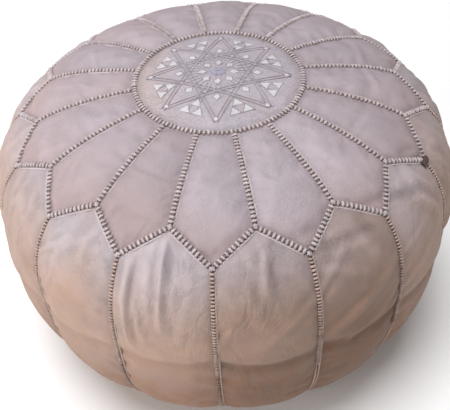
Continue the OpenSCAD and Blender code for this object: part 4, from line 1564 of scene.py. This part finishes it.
@dataclass
class Medallion:
    """The domed disc inside the ring seam, with its eight-pointed star and its white inlays."""

    shell: Shell
    edge_r: float = 0.0907
    dome: float = 9.0 * MM
    star_r: float = 0.080
    points: int = 8
    line_pitch: float = 4.0 * MM
    leather_t: float = 1.8 * MM
    inlay_r: float = 5.0 * MM
    inlay_t: float = 0.9 * MM

    @property
    def arm(self) -> float:
        """Returns the angle between two points of the star, in radians."""
        return 2 * math.pi / self.points

    @property
    def chord_r(self) -> float:
        """Returns the distance of the star's long lines from the middle."""
        return self.star_r * math.cos(1.5 * self.arm)

    def height(self, radius: float) -> float:
        """Returns the dome's height at a radius."""
        ball = (self.edge_r**2 + self.dome**2) / (2 * self.dome)
        return self.shell.top_z(self.shell.ring_r) + math.sqrt(ball**2 - radius**2) - ball + self.dome

    def station(self, x: float, y: float, along: Vector, lift: float = 0.0) -> Station:
        """Returns a place on the dome, facing along a level direction."""
        radius = math.hypot(x, y)
        ball = (self.edge_r**2 + self.dome**2) / (2 * self.dome)
        up = Vector((x, y, math.sqrt(max(ball**2 - radius**2, 0)))).normalized()
        across = up.cross(along).normalized()
        forward = across.cross(up).normalized()
        return Station(Vector((x, y, self.height(radius))) + up * lift, forward, across, up)

    def _line(self, bm: bmesh.types.BMesh, start: Vector, stop: Vector, radius: float, steps: int,
              lift: float = 0.2 * MM) -> None:
        """Lays a straight thread on the dome."""
        along = (stop - start).normalized()
        points = [start.lerp(stop, i / steps) for i in range(steps + 1)]
        sweep(bm, [self.station(p.x, p.y, along, lift) for p in points], disc_section(radius, 6))

    def _loop(self, bm: bmesh.types.BMesh, corners: Sequence[Vector], radius: float,
              lift: float = 0.2 * MM) -> None:
        """Lays a closed thread round a shape on the dome."""
        stations = []
        for i, here in enumerate(corners):
            ahead, behind = corners[(i + 1) % len(corners)], corners[i - 1]
            stations.append(self.station(here.x, here.y, (ahead - behind).normalized(), lift))
        sweep(bm, stations, disc_section(radius, 5), True)

    @staticmethod
    def _turned(points: Sequence[tuple[float, float]], angle: float) -> list[Vector]:
        """Returns flat points turned about the axis."""
        turn = Matrix.Rotation(angle, 3, "Z")
        return [turn @ Vector((x, y, 0)) for x, y in points]

    def shapes(self) -> list[list[Vector]]:
        """Returns the outlines of the white inlays."""
        made = []
        gap = 1.0 * MM
        notch_r = (self.chord_r + self.line_pitch / 2 + 0.65 * MM + gap) / math.cos(self.arm)
        edge_r = self.star_r * 0.9
        half_w = (edge_r - notch_r) * 0.62
        arm_r = self.chord_r / math.cos(self.arm / 2) + self.line_pitch + self.inlay_r + gap
        for i in range(self.points):
            for radius, long, wide in ((self.star_r * 0.22, 5.2, 4.1), (arm_r, 5.0, 4.0),
                                       (self.star_r * 0.945, 3.4, 2.6)):
                kite = [(0, -radius - long * MM), (wide * MM, -radius), (0, -radius + long * MM),
                        (-wide * MM, -radius)]
                made.append(self._turned(kite, i * self.arm))
            corners = [(0.0, -notch_r), (-half_w, -edge_r), (half_w, -edge_r)]
            for own in corners:
                small = [((own[0] + c[0]) / 2, (own[1] + c[1]) / 2) for c in corners]
                middle = (sum(p[0] for p in small) / 3, sum(p[1] for p in small) / 3)
                keep = 1 - gap * 2.2 / half_w
                kept = [(middle[0] + keep * (p[0] - middle[0]), middle[1] + keep * (p[1] - middle[1]))
                        for p in small]
                made.append(self._turned(kept, (i + 0.5) * self.arm))
        return made

    def _disc(self, finishes: Finishes) -> None:
        """Builds the domed leather disc, lightly quilted by the star's lines."""
        bm = bmesh.new()
        before, rows = None, 44
        for i in range(rows + 1):
            radius = (self.edge_r + 2.2 * MM) * i / rows
            vert = bm.verts.new((0, -radius, self.height(radius)))
            if before:
                bm.edges.new((before, vert))
            before = vert
        bmesh.ops.spin(bm, geom=bm.verts[:] + bm.edges[:], cent=(0, 0, 0), axis=(0, 0, 1), dvec=(0, 0, 0),
                       angle=2 * math.pi, steps=192, use_merge=True, use_duplicate=False)
        bmesh.ops.remove_doubles(bm, verts=bm.verts[:], dist=0.05 * MM)
        bmesh.ops.recalc_face_normals(bm, faces=bm.faces[:])
        if sum(face.normal.z for face in bm.faces) < 0:
            bmesh.ops.reverse_faces(bm, faces=bm.faces[:])
        seams, worn = [], []
        for vert in bm.verts:
            radius = math.hypot(vert.co.x, vert.co.y)
            rim = smoothstep(0.45, 0.95, radius / self.edge_r) * max(0.0, -vert.co.x / max(radius, MM))
            worn.append(2.6 * rim + 0.5 * noise.noise(vert.co * 40))
            vert.co.z += (0.35 * MM * noise.noise(vert.co * 90)
                          - 0.7 * MM * bell(radius - self.edge_r, 4 * MM))
            for i in range(self.points):
                a = (i + 0.5) * self.arm
                off = abs(vert.co.x * math.sin(a) - vert.co.y * math.cos(a) - self.chord_r)
                long = abs(vert.co.x * math.cos(a) + vert.co.y * math.sin(a))
                if long < self.star_r * math.sin(1.5 * self.arm):
                    vert.co.z -= 0.30 * MM * bell(off, 2.6 * MM)
            seams.append(bell(self.edge_r - radius, 5 * MM))
        piece = finish_piece("medallion", bm, finishes.medallion, ["medallion_disc"])
        mark_vertices(piece.data, Mark.SEAM, seams)
        mark_vertices(piece.data, Mark.BLUSH, worn)
        add_wall(piece, self.leather_t)

    def _star(self, finishes: Finishes) -> None:
        """Builds the star's double lines, the rosette and the thread round each inlay."""
        bm, fill, rosette = bmesh.new(), bmesh.new(), bmesh.new()
        half = self.star_r * math.sin(1.5 * self.arm)
        for i in range(self.points):
            for side in (-1, 1):
                level = self.chord_r + side * self.line_pitch / 2
                reach = half - side * 2.2 * MM
                ends = self._turned([(-reach, -level), (reach, -level)], (i + 0.5) * self.arm)
                self._line(bm, ends[0], ends[1], 0.34 * MM, 40)
            for level in (self.chord_r - 0.6 * MM, self.chord_r + 0.6 * MM):
                ends = self._turned([(-half, -level), (half, -level)], (i + 0.5) * self.arm)
                self._line(fill, ends[0], ends[1], 0.7 * MM, 40, -0.4 * MM)
        for i in range(self.points):
            around = [(2.0 * MM * math.sin(t), -5.4 * MM - 3.4 * MM * math.cos(t))
                      for t in (2 * math.pi * k / 10 for k in range(10))]
            self._loop(rosette, self._turned(around, (i + 0.5) * self.arm), 0.6 * MM, 0.4 * MM)
            inner = [(0.45 * x, 0.55 * y - 2.4 * MM) for x, y in around]
            self._loop(rosette, self._turned(inner, (i + 0.5) * self.arm), 0.5 * MM, 0.5 * MM)
        for outline in self.shapes():
            middle = sum(outline, Vector()) / len(outline)
            wide = [p + (p - middle).normalized() * 1.0 * MM for p in outline]
            dense = [a.lerp(b, t) for a, b in zip(wide, wide[1:] + wide[:1]) for t in (0.0, 0.33, 0.66)]
            self._loop(bm, dense, 0.26 * MM, 0.1 * MM)
        dots = StitchRun(StitchStyle(2.4 * MM, 0.7 * MM, 1.0 * MM, 3.0 * MM, 5, 4), random.Random(3))
        for i in range(2 * self.points):
            first, last = (0.024, 0.068) if i % 2 else (0.016, 0.036)
            for step in range(round((last - first) / (3.1 * MM)) + 1):
                place = self._turned([(0, -first - step * 3.1 * MM)], i * self.arm / 2)[0]
                for side in (-1, 1):
                    aside = place.cross(Vector((0, 0, side))).normalized() * (1.1 * MM + 0.05 * place.length)
                    dots.stamp(self.station(place.x + aside.x, place.y + aside.y, aside.normalized()))
        dots.piece("running_stitches", finishes.white_thread, Slot.LAVENDER_THREAD, ["medallion_embroidery"])
        for name, mesh, finish in (("star_threads", bm, finishes.lavender),
                                   ("star_filling", fill, finishes.ecru),
                                   ("rosette", rosette, finishes.lilac)):
            bmesh.ops.recalc_face_normals(mesh, faces=mesh.faces[:])
            finish_piece(name, mesh, finish, ["medallion_embroidery"])

    def _inlays(self, finishes: Finishes) -> None:
        """Builds the white leather inlays, each with a rounded edge."""
        bm = bmesh.new()
        for outline in self.shapes():
            one = bmesh.new()
            bmesh.ops.create_circle(one, cap_ends=True, segments=len(outline), radius=1.0)
            for vert, corner in zip(one.verts[:], outline):
                vert.co = corner
            lifted = bmesh.ops.extrude_face_region(one, geom=one.faces[:])["geom"]
            top = [item for item in lifted if isinstance(item, bmesh.types.BMVert)]
            bmesh.ops.translate(one, vec=(0, 0, self.inlay_t), verts=top)
            rim = [edge for edge in one.edges if all(vert in top for vert in edge.verts)]
            bmesh.ops.bevel(one, geom=rim, offset=0.5 * MM, offset_type="OFFSET", segments=2, profile=0.5,
                            affect="EDGES", material=-1)
            for vert in one.verts:
                vert.co.z += self.height(math.hypot(vert.co.x, vert.co.y)) - 0.25 * MM
            bmesh.ops.recalc_face_normals(one, faces=one.faces[:])
            mesh = bpy.data.meshes.new("inlay")
            one.to_mesh(mesh)
            one.free()
            bm.from_mesh(mesh)
            bpy.data.meshes.remove(mesh)
        finish_piece("white_inlays", bm, finishes.inlay, ["medallion_inlays"], False)

    def build(self, finishes: Finishes) -> None:
        """Builds the disc, its threads and its inlays."""
        self._disc(finishes)
        self._star(finishes)
        self._inlays(finishes)


# ---------------------------------------------------------------- the base and its zip


@dataclass
class Base:
    """The two leather halves of the base, turned up round the zip, and the zip itself."""

    shell: Shell
    ring_w: float = 4.6 * MM
    leather_t: float = 1.8 * MM
    recess_x: float = 15.35 * MM
    recess_y: float = 115.4 * MM
    flange_x: float = 8.8 * MM
    window_y: float = 102.0 * MM
    tape_z: float = 6.1 * MM
    round_r: float = 1.4 * MM

    def _half(self, side: int, finishes: Finishes) -> None:
        """Builds one half: a half disc whose edge along the zip steps up into a flange."""
        bm = bmesh.new()
        before, rows = None, 44
        radius = self.shell.base_r - self.ring_w / 2 + 0.6 * MM
        for i in range(rows + 1):
            vert = bm.verts.new((0, -radius * i / rows, 0))
            if before:
                bm.edges.new((before, vert))
            before = vert
        bmesh.ops.spin(bm, geom=bm.verts[:] + bm.edges[:], cent=(0, 0, 0), axis=(0, 0, 1), dvec=(0, 0, 0),
                       angle=math.pi, steps=96, use_merge=False, use_duplicate=False)
        bmesh.ops.remove_doubles(bm, verts=bm.verts[:], dist=0.05 * MM)
        cuts = [((x, 0, 0), (1, 0, 0)) for x in (self.flange_x, self.recess_x - self.round_r, self.recess_x,
                                                 self.recess_x + self.round_r)]
        for y in (self.window_y, self.recess_y - self.round_r, self.recess_y, self.recess_y + self.round_r):
            cuts += [((0, y, 0), (0, 1, 0)), ((0, -y, 0), (0, 1, 0))]
        for place, normal in cuts:
            bmesh.ops.bisect_plane(bm, geom=bm.verts[:] + bm.edges[:] + bm.faces[:], dist=0.01 * MM,
                                   plane_co=place, plane_no=normal)
        window = [face for face in bm.faces if face.calc_center_median().x < self.flange_x
                  and abs(face.calc_center_median().y) < self.window_y]
        bmesh.ops.delete(bm, geom=window, context="FACES")
        rise = self.tape_z - self.leather_t
        for vert in bm.verts:
            x, y = vert.co.x, abs(vert.co.y)
            inside = 1 - smoothstep(self.recess_x - self.round_r, self.recess_x + self.round_r, x)
            inside *= 1 - smoothstep(self.recess_y - self.round_r, self.recess_y + self.round_r, y)
            away = math.hypot(x - 0.06, vert.co.y)
            soft = 0.5 * MM * (0.5 + 0.5 * noise.noise(vert.co * 28)) * (1 - inside) * bell(away, 0.07)
            vert.co.z = rise * inside + soft + 0.3 * MM
            vert.co.x *= side
        bmesh.ops.recalc_face_normals(bm, faces=bm.faces[:])
        if sum(face.normal.z for face in bm.faces) > 0:
            bmesh.ops.reverse_faces(bm, faces=bm.faces[:])
        name = "right" if side > 0 else "left"
        piece = finish_piece(f"base_{name}", bm, finishes.base, [f"base_half_{name}"])
        add_wall(piece, self.leather_t - 0.3 * MM)

    def _tape(self, side: int, finishes: Finishes) -> None:
        """Builds one woven tape with a corded edge beside the teeth."""
        box_low, box_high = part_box("zip_tape_right")
        bm = bmesh.new()
        bmesh.ops.create_grid(bm, x_segments=10, y_segments=150, size=0.5)
        for vert in bm.verts:
            x = box_low.x + (box_high.x - box_low.x) * (vert.co.x + 0.5)
            y = box_low.y + (box_high.y - box_low.y) * (vert.co.y + 0.5)
            cord = 0.25 * MM * bell(x - box_low.x - 0.6 * MM, 0.9 * MM)
            ripple = 0.1 * MM * math.sin(y * 900) * bell(x - box_low.x, 4 * MM)
            vert.co = (x, y, self.tape_z + ripple - cord + 0.3 * MM)
        bmesh.ops.scale(bm, vec=(side, 1, 1), verts=bm.verts[:])
        bmesh.ops.recalc_face_normals(bm, faces=bm.faces[:])
        if sum(face.normal.z for face in bm.faces) > 0:
            bmesh.ops.reverse_faces(bm, faces=bm.faces[:])
        name = "right" if side > 0 else "left"
        piece = finish_piece(f"tape_{name}", bm, finishes.tape, [f"zip_tape_{name}"])
        add_wall(piece, 0.5 * MM)

    def _dress_zip(self, finishes: Finishes) -> None:
        """Gives the zip's own CAD pieces their materials."""
        dressed = {
            "zip_teeth_left": finishes.resin, "zip_teeth_right": finishes.resin,
            "zip_top_stops": finishes.metal, "zip_bottom_stop": finishes.metal,
            "zip_slider": finishes.metal, "zip_pull": finishes.metal,
        }
        for name, finish in dressed.items():
            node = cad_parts[name]
            for holder in node.material_slots:
                holder.material = finish
            if not node.material_slots:
                node.data.materials.append(finish)
            LOG.info("%s dressed", name)

    def build(self, finishes: Finishes) -> None:
        """Builds the base and dresses the zip."""
        for side in (-1, 1):
            self._half(side, finishes)
            self._tape(side, finishes)
        self._dress_zip(finishes)


@dataclass
class Stuffing:
    """The cotton filling inside the cover, hollowed over the zip."""

    shell: Shell
    inset: float = 6.0 * MM
    hollow_gap: float = 1.0 * MM
    hollow_wall: float = 0.6 * MM
    rows: int = 46
    floor_rings: int = 6

    def _body(self, low_z: float) -> bmesh.types.BMesh:
        """Returns the filling as a closed turned form, down to a flat underside."""
        bm = bmesh.new()
        top_arc = 4 * MM
        outline = []
        for i in range(self.rows + 1):
            arc = top_arc + (self.shell.length - top_arc) * i / self.rows
            (radius, height), (out_r, out_z) = self.shell.at(arc), self.shell.outward(arc)
            outline.append((radius - out_r * self.inset, max(height - out_z * self.inset, low_z)))
        rim_r, rim_z = outline[-1]
        outline += [(rim_r * (1 - i / self.floor_rings), rim_z) for i in range(1, self.floor_rings + 1)]
        before = None
        for radius, height in outline:
            vert = bm.verts.new((0, -radius, height))
            if before:
                bm.edges.new((before, vert))
            before = vert
        bmesh.ops.spin(bm, geom=bm.verts[:] + bm.edges[:], cent=(0, 0, 0), axis=(0, 0, 1), dvec=(0, 0, 0),
                       angle=2 * math.pi, steps=96, use_merge=True, use_duplicate=False)
        bmesh.ops.remove_doubles(bm, verts=bm.verts[:], dist=0.05 * MM)
        bmesh.ops.holes_fill(bm, edges=[edge for edge in bm.edges if edge.is_boundary], sides=0)
        return bm

    def _hollow(self, bm: bmesh.types.BMesh) -> None:
        """Lifts the underside clear of the tapes and the slider along its whole travel."""
        slider_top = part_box("zip_slider")[1].z
        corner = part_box("zip_tape_right")[1]
        half_x, half_y = corner.x + self.hollow_gap, corner.y + self.hollow_gap
        for half, axis in ((half_x, Vector((1, 0, 0))), (half_y, Vector((0, 1, 0)))):
            for place in (half, half + self.hollow_wall):
                for side in (-1, 1):
                    bmesh.ops.bisect_plane(bm, geom=bm.verts[:] + bm.edges[:] + bm.faces[:], dist=0.001 * MM,
                                           plane_co=axis * (place * side), plane_no=axis)
        slack = 0.05 * MM
        for vert in bm.verts:
            if (abs(vert.co.x) < half_x + slack and abs(vert.co.y) < half_y + slack
                    and vert.co.z < 5 * slider_top):
                vert.co.z = slider_top + self.hollow_gap

    def build(self, finishes: Finishes) -> None:
        """Builds the filling inside the panels."""
        low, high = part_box("stuffing")
        bm = self._body(low.z + 3 * MM)
        for vert in bm.verts:
            vert.co -= vert.co.normalized() * (1.6 * MM * abs(noise.noise(vert.co * 26)))
            vert.co.z = min(max(vert.co.z, low.z + 2 * MM), high.z - 2 * MM)
        self._hollow(bm)
        bmesh.ops.recalc_face_normals(bm, faces=bm.faces[:])
        piece = finish_piece("stuffing_core", bm, finishes.cotton, ["stuffing"])


def main() -> None:
    """Builds the stage, the cover, the seams, the medallion and the base."""
    logging.basicConfig(level=logging.INFO, format="%(name)s: %(message)s")
    Studio().build()
    finishes = Finishes()
    cover = Cover(SHELL)
    cover.build(finishes)
    Seams(SHELL, cover).build(finishes)
    Medallion(SHELL).build(finishes)
    Base(SHELL).build(finishes)
    Stuffing(SHELL).build(finishes)


if __name__ == "__main__":
    main()
